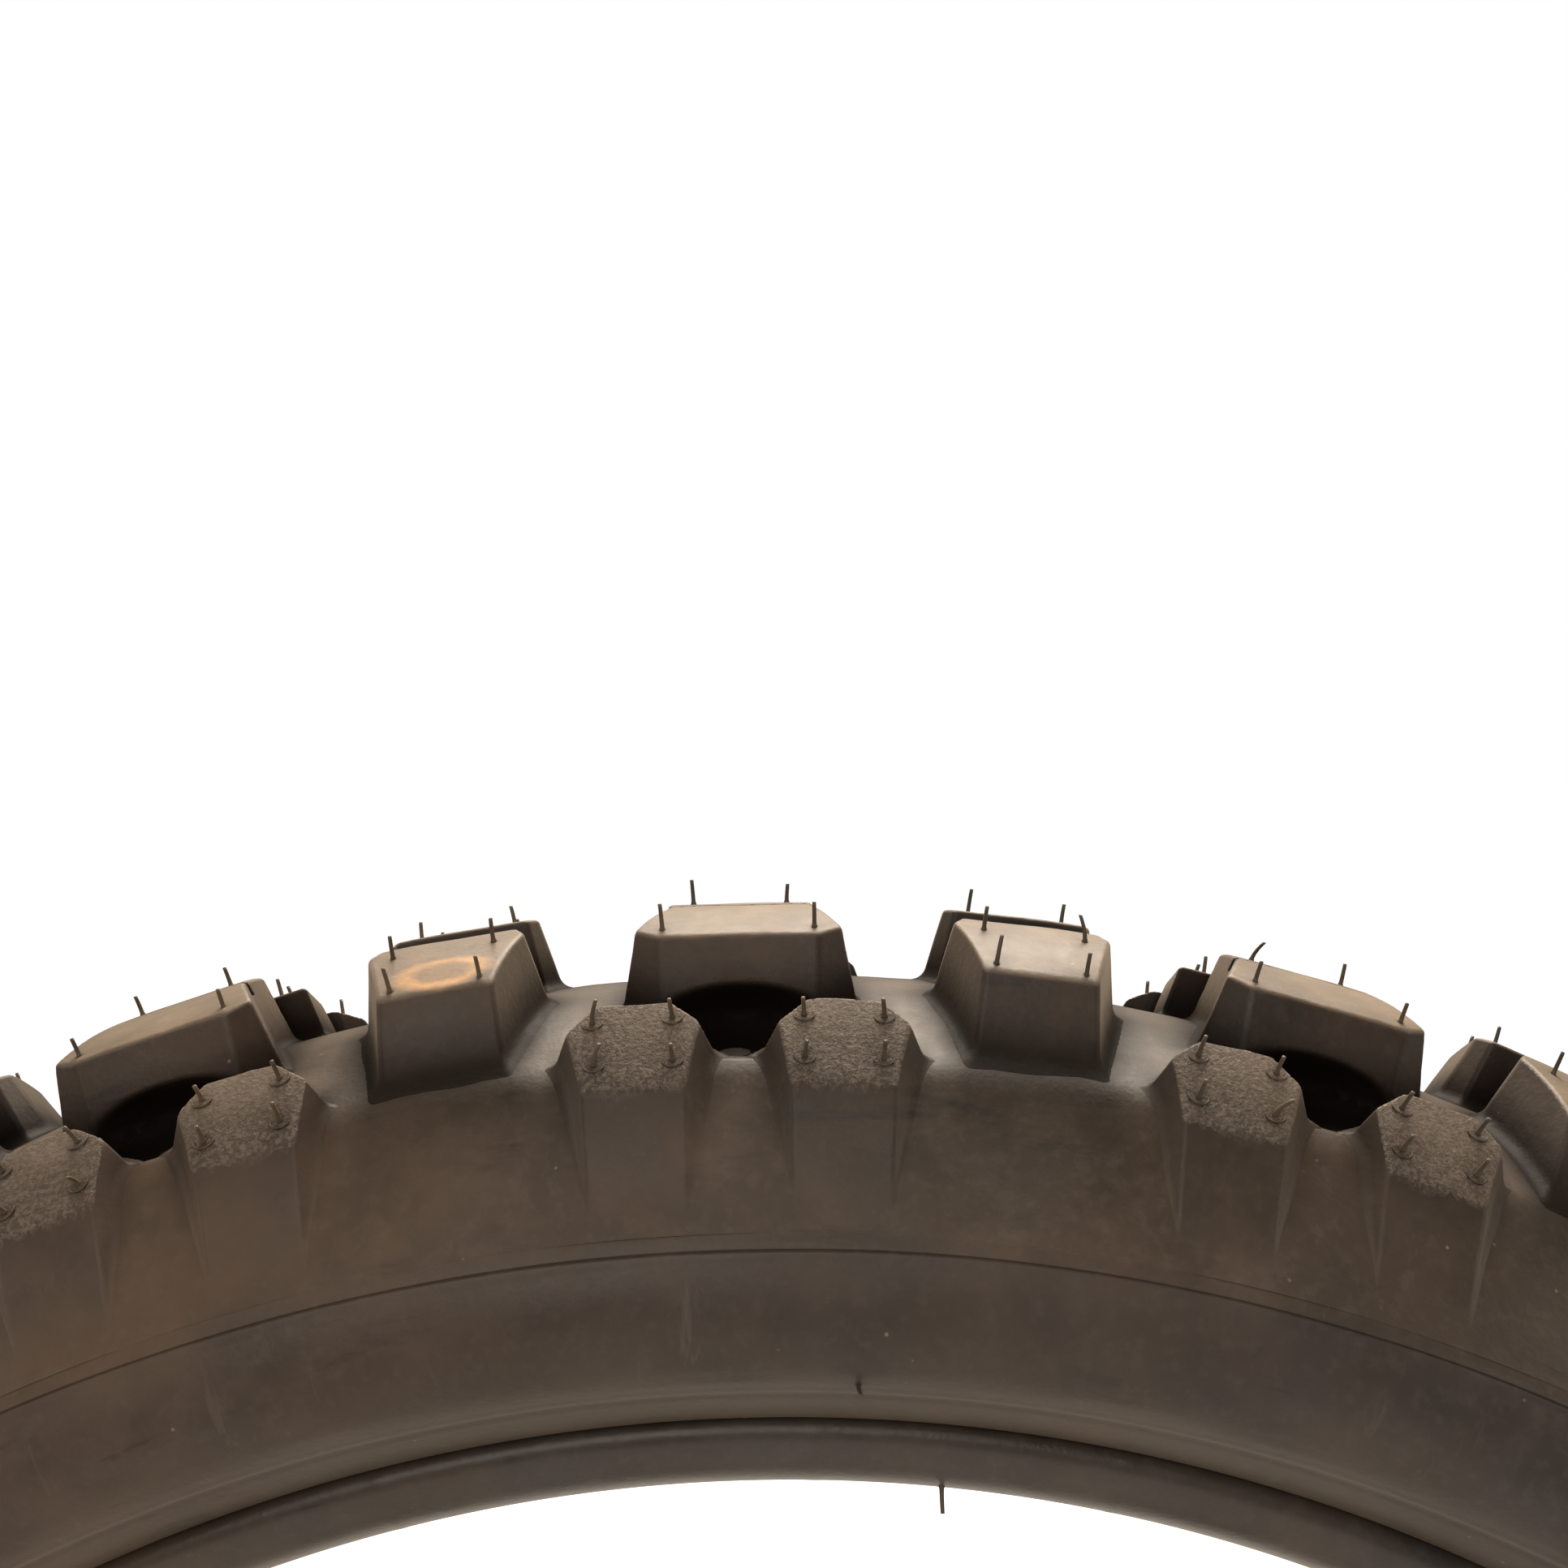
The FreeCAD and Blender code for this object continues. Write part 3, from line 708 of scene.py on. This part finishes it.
# look of the CAD pieces that are kept, and their node names
KEPT_PIECES = (
    (dict(name="ply_cord", dark=(0.10, 0.085, 0.07), light=(0.18, 0.155, 0.13),
          scale=300, rough=0.75, bump=0.0003, weave=900),
     ("carcass_ply_inner", "carcass_ply_outer", "breaker_ply_inner", "breaker_ply_outer")),
    (dict(name="bead_steel", dark=(0.42, 0.33, 0.22), light=(0.62, 0.50, 0.34),
          scale=400, rough=0.35, bump=0.00004, metal=1.0),
     ("bead_wires_left", "bead_wires_right")),
    (dict(name="wrap_fabric", dark=(0.08, 0.072, 0.066), light=(0.15, 0.135, 0.12),
          scale=500, rough=0.8, bump=0.0003, weave=1400),
     ("bead_wrap_left", "bead_wrap_right", "bead_chafer_left", "bead_chafer_right")),
    (dict(name="filler_rubber", dark=(0.018, 0.017, 0.017), light=(0.035, 0.033, 0.032),
          scale=220, rough=0.6, bump=0.0001),
     ("bead_filler_left", "bead_filler_right")))


def set_material(ob, material):
    ob.data.materials.clear()
    ob.data.materials.append(material)


for look, pieces in KEPT_PIECES:
    material = plain(**look)
    for piece in pieces:
        set_material(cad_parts[piece], material)


def place(ob, slot, node):
    """Gives the object its rubber and its place in the frame."""
    set_material(ob, MATERIALS[slot])
    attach(ob, "root")
    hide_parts(node)


# ------------------------------------------------------------------ knobs
# Masks give the top (wear, and a painted highlight), coarse grain and rust at points of a knob.
def arc_masks(pts):
    x, y, _ = split(pts)
    top = np.clip((top_arc(pts) + 0.55) / 0.3, 0, 1)
    reach = np.hypot((x - RUST_CENTRE[0]) / RUST_RADII[0],
                     (np.abs(y) - RUST_CENTRE[1]) / RUST_RADII[1])
    rust = (np.clip(1 - np.abs(reach - 1.0) / 0.42, 0, 1) + 0.2 * (reach < 1)) * top
    return top, np.zeros(len(pts)), rust


def offset_masks(pts):
    _, y, z = split(pts)
    dist = (z - 323.4) + (y - 15.0) * 0.4
    return np.clip((dist + 0.75) / 0.3, 0, 1), np.zeros(len(pts)), np.zeros(len(pts))


def shoulder_masks(side):
    def masks(pts):
        _, y, z = split(pts)
        top = np.clip((shoulder_top(folded(pts), side) + 0.5) / 0.25, 0, 1) * (y < 42.2)
        height = np.clip((z - 304.5) / 10.0, 0, 1)
        return top * (0.30 + 0.70 * height ** 1.5), top, np.zeros(len(pts))
    return masks


def knob_variants(body, low, high, cell, target, fillet, skirt, depth, masks,
                  cut=None, outer_fillet=None, root_dark=0.9):
    """Three knobs with different unevenness: vertices, corner normals, faces, corner masks."""
    variants = []
    for i in range(3):
        field = knob_field(body, fillet, skirt, depth, cut, 1.7 * i + 0.4, outer_fillet)
        verts, faces = decimated(*surface_nets(field, low, high, cell), target)
        # folded pairs of faces are dropped, so that the corner data stays in step
        _, inverse, count = np.unique(np.sort(faces, axis=1), axis=0,
                                      return_inverse=True, return_counts=True)
        first, second, third = faces.T
        faces = faces[(count[np.ravel(inverse)] == 1) & (first != second)
                      & (second != third) & (first != third)]
        # corner normals and masks are read a little inside each face, so that large flat
        # faces stay flat and only the narrow rounded edges turn
        inward = faces_inward = verts[faces].mean(1)[:, None, :] - verts[faces]
        length = np.maximum(np.linalg.norm(inward, axis=2, keepdims=True), 1e-9)
        corners = verts[faces] + inward / length * np.minimum(0.55, 0.55 * length)
        corners = corners.reshape(-1, 3)
        normals = gradient(field, corners, 0.08)
        normals /= np.maximum(np.linalg.norm(normals, axis=1), 1e-9)[:, None]
        top, coarse, rust = masks(corners)
        height = base_dist(corners)
        root = np.clip(1.0 - (height - 0.3) / 2.6, 0, 1)
        # painted shade at the knob roots, fading up the flanks and out towards the sidewall
        dark = (root_dark * np.clip(1.0 - (height - 0.2) / 7.0, 0, 1) ** 1.2
                * np.clip((46.0 - np.abs(corners[:, 1])) / 8.0, 0, 1))
        variants.append((verts, normals, faces,
                         np.stack([top * (1 - root), coarse, rust, root, dark], -1)))
    return variants


def corners_reversed(data):
    """Corner data of triangles whose corners run the other way."""
    return data.reshape(-1, 3, data.shape[1])[:, ::-1].reshape(-1, data.shape[1])


def knob_ring(name, node, variants, angles, side=1, rusty=False):
    """One object of knobs at the angles, mirrored to -Y on the left."""
    parts = ([], [], [], [])
    count = 0
    for i, angle in enumerate(angles):
        verts, normals, faces, masks = variants[i % len(variants)]
        verts, normals = rotated(verts, angle), rotated(normals, angle)
        if side < 0:
            verts = verts * FLIP_Y
            faces = faces[:, ::-1]
            normals = corners_reversed(normals * FLIP_Y)
            masks = corners_reversed(masks)
        for part, data in zip(parts, (verts, normals, faces + count, masks)):
            part.append(data)
        count += len(verts)
    verts, normals, faces, masks = (np.concatenate(part) for part in parts)
    # rust stays on the last knob of a rusty ring, from some corners before its start
    clean = (PITCHES - 1) * (len(masks) // PITCHES) - 900 if rusty else len(masks)
    masks[:clean, 2] = 0
    ob = mesh_object(name, verts, faces, normals)
    for i, key in enumerate(("wear_and_highlight", "coarse", "rust", "root", "dark")):
        set_attribute(ob, key, "CORNER", masks[:, i])
    place(ob, "knob_rubber", node)


centre_knobs = knob_variants(
    centre_body, low=(-25, -29, 304), high=(25, 18, 331), cell=0.5, target=7000,
    fillet=1.9, skirt=2.3, depth=3.0, masks=arc_masks, cut=dish_dist)
intermediate_knobs = knob_variants(
    intermediate_body, low=(-22, -2, 301), high=(22, 40, 330), cell=0.5, target=5200,
    fillet=2.4, skirt=2.8, depth=1.6, masks=arc_masks)
offset_knobs = knob_variants(
    offset_body, low=(-25, 8, 302), high=(25, 34, 327), cell=0.55, target=4200,
    fillet=1.8, skirt=2.2, depth=2.4, masks=offset_masks)
shoulder_knobs = {side: knob_variants(
    shoulder_body(side), low=(-19, 24, 282), high=(19, 58, 320), cell=0.42, target=4700,
    fillet=1.3, skirt=1.6, depth=2.2, masks=shoulder_masks(side), outer_fillet=0.5,
    root_dark=0.5) for side in (-1, 1)}

knob_ring("centre_knobs_moulded", "centre_knobs", centre_knobs, CENTRE_ROW)
knob_ring("offset_knobs_moulded", "offset_knobs_right", offset_knobs, CENTRE_ROW)
for side, label in SIDES:
    node = "intermediate_knobs_" + label
    knob_ring(node + "_moulded", node, intermediate_knobs, MIDDLE_ROW, side, rusty=side < 0)
    node = "shoulder_knobs_" + label
    knob_ring(node + "_moulded", node, shoulder_knobs[side], SHOULDER_ROW[side], side)


# ------------------------------------------------------------------ tread base
def base_profile():
    """Half section (w, r) of the tread base surface, from the centre plane out."""
    points = [(w, CROWN_TOP - CROWN_ARC + math.sqrt(CROWN_ARC ** 2 - w * w)) for w in range(35)]
    radii = np.linspace(300, 312, 1201)
    for t in np.linspace(0, 1, 9):          # blended corner, solved on the field
        w = 35.4 + 4.0 * t
        points.append((w, float(radii[np.argmin(np.abs(section_dist(w, radii)))])))
    (top_w, top_r), (foot_w, foot_r) = BUTTRESS_TOP, BUTTRESS_FOOT
    for t in np.linspace(0.08, 1, 12):
        w = 39.4 + (foot_w - 39.4) * t
        points.append((w, top_r + (w - top_w) * (foot_r - top_r) / (foot_w - top_w)))
    return points + [(53.2, 286.6), (53.985, 285.619), TREAD_EDGE]


def pitch_angle(angle, shift):
    return (angle - FIRST_ANGLE + shift) % PITCH - PITCH / 2


def knob_shadow(w, r, angle):
    """Strength of the painted shade on the base, by distance to the knob bodies."""
    local = pitch_angle(angle, PITCH / 2)
    at_centre = turned(w, r, local)
    at_middle = turned(np.abs(w), r, pitch_angle(angle, 0.0))
    dark = np.zeros(len(w))
    for pts, body, strength, reach in ((at_centre, centre_body, 0.95, 8.5),
                                       (at_middle, intermediate_body, 0.95, 8.0),
                                       (at_centre, offset_body, 0.9, 7.0)):
        dark = np.maximum(dark, strength * np.clip(1.0 - body(pts) / reach, 0, 1) ** 1.3)
    fade = np.clip((46.0 - np.abs(w)) / 12.0, 0, 1)
    for side in (-1, 1):
        body = shoulder_body(side)
        on_side = (w * side > 0) & (np.abs(w) < 50)
        for q in (-1, 1):
            pts = turned(np.abs(w), r, local - q * SHOULDER_ANGLE[side])
            root_shade = 0.55 * fade * np.clip(1.0 - body(pts) / 4.0, 0, 1) ** 1.3
            dark = np.maximum(dark, np.where(on_side, root_shade, 0))
    return dark


def tread_base():
    half = base_profile()
    outer = other_half(half) + half
    half = [TREAD_EDGE_INNER, (48.8, 284.9)]
    half += [(w, 302.0 - 0.006 * w * w) for w in (40, 30, 20, 10, 0)]
    section = np.array(outer + half + other_half(half), float)
    # columns stand closer together near the centre knobs, where the scoops are
    shares = np.concatenate([np.linspace(-0.14, 0.14, 21), np.linspace(0.14, 0.86, 16)[1:-1]])
    columns = np.array([FIRST_ANGLE + (k + share) * PITCH
                        for k in range(PITCHES) for share in shares])
    count = len(section)
    w, r = np.tile(section[:, 0], len(columns)), np.tile(section[:, 1], len(columns))
    angle = np.repeat(columns, count)
    top = np.tile(np.arange(count) < len(outer), len(columns))
    # scoop: lower face of the ellipsoid, where it lies under the surface
    x = r * np.sin(pitch_angle(angle, PITCH / 2))
    rise = 1 - (x / DISH_RADII[0]) ** 2 - ((-w - DISH_CENTRE[0]) / DISH_RADII[1]) ** 2
    scoop = DISH_CENTRE[1] - DISH_RADII[2] * np.sqrt(np.maximum(rise, 0))
    scoop = np.where(rise > 0, scoop, 999.0)
    r = np.where(top, -smooth_max(-r, -np.minimum(scoop, r + 50), DISH_BLEND), r)
    # gentle waviness of the moulding
    waves = 0.05 * np.sin(angle * 63 + w * 0.21) + 0.05 * np.sin(angle * 131 - w * 0.37 + 1.3)
    r = np.where(top & (np.abs(w) < 52), r + waves, r)
    faces = ring_faces(len(columns), count)[:, [0, 3, 2, 1]]
    ob = mesh_object("tread_base_moulded", turned(w, r, angle), faces)
    set_attribute(ob, "dark", "POINT", knob_shadow(w, r, angle) * top)
    place(ob, "tread_rubber", "tread_base")


tread_base()

# ------------------------------------------------------------------ sidewalls and beads
# closed sections as (w, r), from the tread edge down the outside and back up the inside
SIDEWALL = (
    [TREAD_EDGE, (54.013, 285.58), (54.5, 284.8), (54.98, 283.9), (55.09, 283.72),
     (55.11, 283.62), (54.88, 283.5), (54.92, 283.38), (55.2, 283.26), (55.36, 282.9)]
    + spline([(55.5, 282.2), (56.2, 279.8), (56.75, 277.0), (56.95, 274.0), (56.75, 271.0),
              (56.1, 268.4), (54.9, 266.0), (53.1, 263.7), (51.3, 261.95)], 0.9)
    + [(50.9, 261.5), (50.5, 261.25), (49.9, 260.95), (49.3, 260.55), (48.9, 260.05)]
    + spline([(48.4, 259.5), (46.2, 257.6), (43.8, 255.8), (42.2, 254.8)], 0.8)
    + [(41.6, 254.45), (41.0, 254.0), (40.5, 253.8)]
    + [(39.6, 254.3), (43.5, 259.2), (48.2, 263.2), (52.0, 268.0), (53.4, 273.5),
       (53.0, 279.5), (51.3, 285.236), TREAD_EDGE_INNER])
# closed section of the bead roll, from its toe round the outside and back inside
BEAD = (
    spline([(22.6, 241.9), (22.55, 241.5), (22.9, 241.3)], 0.3)
    + [(27.0, 241.3), (31.2, 241.3)]
    + spline([(31.6, 241.32), (33.6, 241.55), (35.9, 242.4), (38.1, 243.9), (39.9, 246.0),
              (41.2, 248.4), (41.85, 250.6), (41.6, 252.3), (40.9, 253.3), (40.4, 253.75)], 0.6)
    + [(39.4, 253.9), (37.9, 250.5), (36.6, 248.8), (36.5, 243.1), (25.95, 243.1),
       (25.2, 243.4), (24.2, 243.0)])
BEAD_SEAMS = (-0.245, 0.02, 0.21, 1.4, 2.6, 3.9, 5.1)   # angles in radians


def sidewall(side, label):
    phase = 0.9 * side

    def displace(w, r, angle):
        # slow run-out of the moulded line, then waves on the outer face
        run_out = 0.06 * np.sin(angle * 7 + phase) + 0.04 * np.sin(angle * 23 + phase)
        r = r + np.where(np.abs(r - 283.5) < 0.3, run_out, 0.0)
        waves = (0.07 * np.sin(angle * 17 + r * 0.31 + phase)
                 + 0.05 * np.sin(angle * 41 - r * 0.5))
        return w + side * np.where(np.abs(w) > 53.5, waves, 0.0), r

    node = "sidewall_" + label
    ob = lathe(node + "_moulded", [(side * w, r) for w, r in SIDEWALL], 720, displace)
    place(ob, "sidewall_rubber", node)


def rim_cushion(side, label):
    phase = 0.9 * side

    def displace(w, r, angle):
        # radial seams across the bead roll
        seam = np.zeros_like(angle)
        for centre in BEAD_SEAMS:
            away = (angle - centre - phase * 0.01 + math.pi) % (2 * math.pi) - math.pi
            seam += 0.16 * np.exp(-(away / 0.0035) ** 2)
        outside = (r > 242.0) & (np.abs(w) > 33)
        waves = seam + 0.05 * np.sin(angle * 13 + phase)
        return w + side * np.where(outside, waves, 0.0), r

    node = "rim_cushion_" + label
    ob = lathe(node + "_moulded", [(side * w, r) for w, r in BEAD], 1440, displace)
    place(ob, "bead_rubber", node)


for side, label in SIDES:
    sidewall(side, label)
    rim_cushion(side, label)

# ------------------------------------------------------------------ inner liner
# half sections (w, r): the face to the cavity from the crown down, the other face back up
LINER_CAVITY = spline(
    [(0, 305.8), (8, 305.4), (16, 304.0), (24, 301.8), (32, 298.6), (37.2, 295.4),
     (41.9, 292.3), (45.8, 288.3), (48.4, 283.6), (49.9, 278.6), (50.4, 274.0),
     (49.7, 270.6), (46.6, 267.2), (41.8, 263.9), (36.0, 260.3), (30.6, 256.3),
     (26.3, 251.0), (25.9, 247.5), (25.9, 244.0)], 2.5)
LINER_OUTER = [
    (27.0, 243.9), (27.0, 250.2), (31.2, 255.2), (36.5, 259.3), (42.4, 262.9), (47.4, 266.3),
    (50.8, 270.0), (51.7, 273.9), (51.2, 278.8), (49.6, 284.0), (46.8, 289.0), (42.8, 293.3),
    (37.6, 296.6), (32, 299.6), (24, 302.9), (16, 305.1), (8, 306.4), (0, 306.8)]
liner_section = (other_half(LINER_CAVITY) + LINER_CAVITY
                 + LINER_OUTER + other_half(LINER_OUTER))
place(lathe("inner_liner_moulded", liner_section, 720), "liner_rubber", "inner_liner")

# ------------------------------------------------------------------ vent spews
rng = np.random.RandomState(7)
SPEW_RADIUS, SPEW_SIDES = 0.38, 7
# (share of the length, radius factor): a flared foot, then a slight taper
SPEW_STATIONS = ([(-0.05, 1.6), (0.04, 1.3), (0.12, 1.02)]
                 + [(share, 1.0 - 0.12 * share) for share in (0.35, 0.6, 0.85, 1.0)])
VENT_RADIUS, VENT_RIDGE, VENT_STEPS = 1.6, 0.10, 20


def vent_axes(normal, lean):
    normal = np.array(normal, float) / np.linalg.norm(normal)
    lean = np.array(lean, float)
    lean -= normal * np.dot(lean, normal)
    lean /= np.linalg.norm(lean)
    return normal, lean, np.cross(normal, lean)


def spew_mesh(foot, normal, lean, length, bend):
    """Tapered bent whisker from foot along normal, leaning towards lean."""
    normal, lean, third = vent_axes(normal, lean)
    sides = SPEW_SIDES
    verts, faces = [], []
    for share, factor in SPEW_STATIONS:
        centre = (foot + normal * (length * share)
                  + lean * (bend * max(share, 0) ** 1.7 * length))
        for k in range(sides):
            angle = 2 * math.pi * k / sides
            verts.append(centre + SPEW_RADIUS * factor
                         * (math.cos(angle) * lean + math.sin(angle) * third))
    last = (len(SPEW_STATIONS) - 1) * sides
    for row in range(0, last, sides):
        for k in range(sides):
            here, after = row + k, row + (k + 1) % sides
            faces.append((here, after, after + sides, here + sides))
    faces.append(tuple(reversed(range(sides))))
    faces.append(tuple(range(last, last + sides)))
    return verts, faces


def vent_ridge(foot, normal, lean):
    """Low ridge on the rubber round a vent."""
    normal, lean, third = vent_axes(normal, lean)
    verts, faces = [], []
    for i in range(VENT_STEPS):
        angle = 2 * math.pi * i / VENT_STEPS
        out = math.cos(angle) * lean + math.sin(angle) * third
        for shift, height in ((-1, -0.6), (0, 1.0), (1, -0.6)):
            verts.append(foot + out * (VENT_RADIUS + shift * VENT_RIDGE * 1.3)
                         + normal * (VENT_RIDGE * height))
        row, after = i * 3, (i + 1) % VENT_STEPS * 3
        for k in range(3):
            faces.append((row + k, after + k, after + (k + 1) % 3, row + (k + 1) % 3))
    return verts, faces


def spew_group(label, spots, ridges=False):
    """One object of spews; spots are (foot, normal, lean, length, bend)."""
    verts, faces = [], []
    for spot in spots:
        parts = [spew_mesh(*spot)]
        if ridges:
            parts.append(vent_ridge(*spot[:3]))
        for part_verts, part_faces in parts:
            faces += [tuple(i + len(verts) for i in face) for face in part_faces]
            verts += part_verts
    node = "vent_spews_" + label
    place(mesh_object(node + "_moulded", np.array(verts), faces), "spew_rubber", node)


def project(field, start, direction):
    """Moves a point along direction onto the surface field = 0."""
    point = np.array(start, float)
    for _ in range(12):
        point = point - direction * float(field(point[None, :])[0])
    return point


def knob_spots(body, pairs, angles, side, length):
    """Spots on the knob tops; each (x, y, z) of pairs stands for -x and +x."""
    spots = []
    for angle in angles:
        for x, y, z in [(q * x, y, z) for x, y, z in pairs for q in (-1, 1)]:
            foot = project(body, (x, y, z), np.array((0.0, 0.35 * np.sign(y), 0.94)))
            normal = gradient(body, foot[None, :], 0.1)[0]
            normal /= np.linalg.norm(normal)
            lean = np.array([rng.uniform(-1, 1), rng.uniform(-1, 1), 0.01])
            normal = normal + np.array([rng.uniform(-0.07, 0.07), rng.uniform(-0.07, 0.07), 0.45])
            normal /= np.linalg.norm(normal)
            axes = rotated(np.stack([foot, normal, lean]), angle)
            if side < 0:
                axes = axes * FLIP_Y
            spots.append((*axes, length * rng.uniform(0.8, 1.15),
                          rng.uniform(0.0, 0.10) if rng.uniform() < 0.85 else 0.45))
    return spots


def six_spots(first_degrees, axes, length, bend):
    """Six spots round the tyre; axes are the foot, normal and lean at the top."""
    return [(*rotated(np.array(axes), math.radians(first_degrees + 60 * k)), length, bend)
            for k in range(6)]


spew_group("centre", knob_spots(
    centre_body, ((12.4, -16.6, 326), (8.1, 4.6, 327)), CENTRE_ROW, 1, length=3.8))
spew_group("offset_right", knob_spots(
    offset_body, ((12.6, 16.6, 323), (12.2, 24.0, 320)), CENTRE_ROW, 1, length=3.8))
for side, label in SIDES:
    spew_group("intermediate_" + label, knob_spots(
        intermediate_body, ((7.2, 25.4, 322), (8.4, 13.0, 326)), MIDDLE_ROW, side, length=3.9))
    spread = 6.2 if side < 0 else 5.6
    spew_group("shoulder_" + label, knob_spots(
        shoulder_body(side), ((spread, 34.4, 315), (spread - 0.2, 39.4, 309)),
        SHOULDER_ROW[side], side, length=3.6), ridges=True)
    spew_group("sidewall_" + label, six_spots(
        1.9, [[0, side * 52.2, 263.0], [0, side * 0.72, -0.35], [0.4, 0, 1.0]],
        length=2.8, bend=0.3))
    spew_group("bead_" + label, six_spots(
        5.3, [[0, side * 36.6, 242.8], [0.05, side * 0.5, -0.86], [0.3, 0, -1.0]],
        length=4.0, bend=0.1))


# ------------------------------------------------------------------ stage, light, camera
def make_floor():
    """Pale floor just under the tyre, nearly white to the camera."""
    bpy.ops.mesh.primitive_plane_add(size=30.0, location=(0, 6.0, cad_box[0][2] - 0.0005))
    floor = bpy.context.object
    floor.name = "floor"
    net = Graph("floor_pale", textured=False)
    glow = net.mul(net.node("LightPath").outputs["Is Camera Ray"], 0.93)
    net.feed(net.shader, {
        "Base Color": (0.85, 0.85, 0.84, 1), "Roughness": 0.9,
        "Emission Color": (1, 1, 1, 1), "Emission Strength": glow})
    floor.data.materials.append(net.material)


def area_light(name, place, aim_height, size, power, colour):
    """Square light aimed at a point above the origin (metres, watts)."""
    light = bpy.data.lights.new(name, "AREA")
    light.shape = "RECTANGLE"
    light.size = light.size_y = size
    light.energy = power
    light.color = colour
    ob = bpy.data.objects.new(name, light)
    bpy.context.scene.collection.objects.link(ob)
    ob.location = place
    aim = Vector((0, 0, aim_height)) - Vector(place)
    ob.rotation_euler = aim.to_track_quat("-Z", "Y").to_euler()


def make_world():
    """Weak warm light, white to the camera."""
    world = bpy.data.worlds.new("studio")
    bpy.context.scene.world = world
    world.use_nodes = True
    nodes, links = world.node_tree.nodes, world.node_tree.links
    ambient = nodes["Background"]
    path = nodes.new("ShaderNodeLightPath")
    backdrop = nodes.new("ShaderNodeBackground")
    mixer = nodes.new("ShaderNodeMixShader")
    for node, colour, strength in ((ambient, (1.0, 0.93, 0.86, 1), 0.14),
                                   (backdrop, (1, 1, 1, 1), 1.0)):
        node.inputs[0].default_value = colour
        node.inputs[1].default_value = strength
    links.new(path.outputs["Is Camera Ray"], mixer.inputs[0])
    links.new(ambient.outputs[0], mixer.inputs[1])
    links.new(backdrop.outputs[0], mixer.inputs[2])
    links.new(mixer.outputs[0], nodes["World Output"].inputs[0])


def make_camera(place, lens, heading, tilt, roll):
    """Camera at place (mm) looking along +Y, turned by heading, tilted down and rolled."""
    ahead = Vector((-math.sin(heading), math.cos(heading), 0))
    level = Vector((math.cos(heading), math.sin(heading), 0))
    vertical = Vector((0, 0, 1))
    forward = math.cos(tilt) * ahead - math.sin(tilt) * vertical
    upright = math.sin(tilt) * ahead + math.cos(tilt) * vertical
    right = math.cos(roll) * level + math.sin(roll) * upright
    above = -math.sin(roll) * level + math.cos(roll) * upright
    camera = bpy.data.cameras.new("photo_view")
    camera.sensor_width = 36.0
    camera.lens = lens
    camera.clip_start = 0.01
    camera.clip_end = 50
    ob = bpy.data.objects.new("photo_view", camera)
    bpy.context.scene.collection.objects.link(ob)
    matrix = Matrix((right, above, -forward)).transposed().to_4x4()
    matrix.translation = Vector(place) * MM
    ob.matrix_world = matrix
    bpy.context.scene.camera = ob


make_floor()
WARM = (1.0, 0.90, 0.80)
area_light("key_top", place=(0.10, 0.75, 1.45), aim_height=0.30, size=1.1, power=38.0,
           colour=(1.0, 0.89, 0.76))
area_light("fill_front", place=(-0.3, -1.5, 1.15), aim_height=0.28, size=1.1, power=12.0,
           colour=WARM)
area_light("side_left", place=(-1.5, -0.1, 0.75), aim_height=0.30, size=0.9, power=4.0,
           colour=WARM)
area_light("side_right", place=(1.5, -0.2, 0.75), aim_height=0.30, size=0.9, power=4.0,
           colour=WARM)
make_world()
make_camera(place=(-4.34, -332.1, 359.0), lens=44.53602484, heading=math.radians(-0.36),
            tilt=math.radians(1.76), roll=math.radians(0.32))
bpy.context.scene.view_settings.view_transform = "Standard"
bpy.context.scene.view_settings.look = "None"
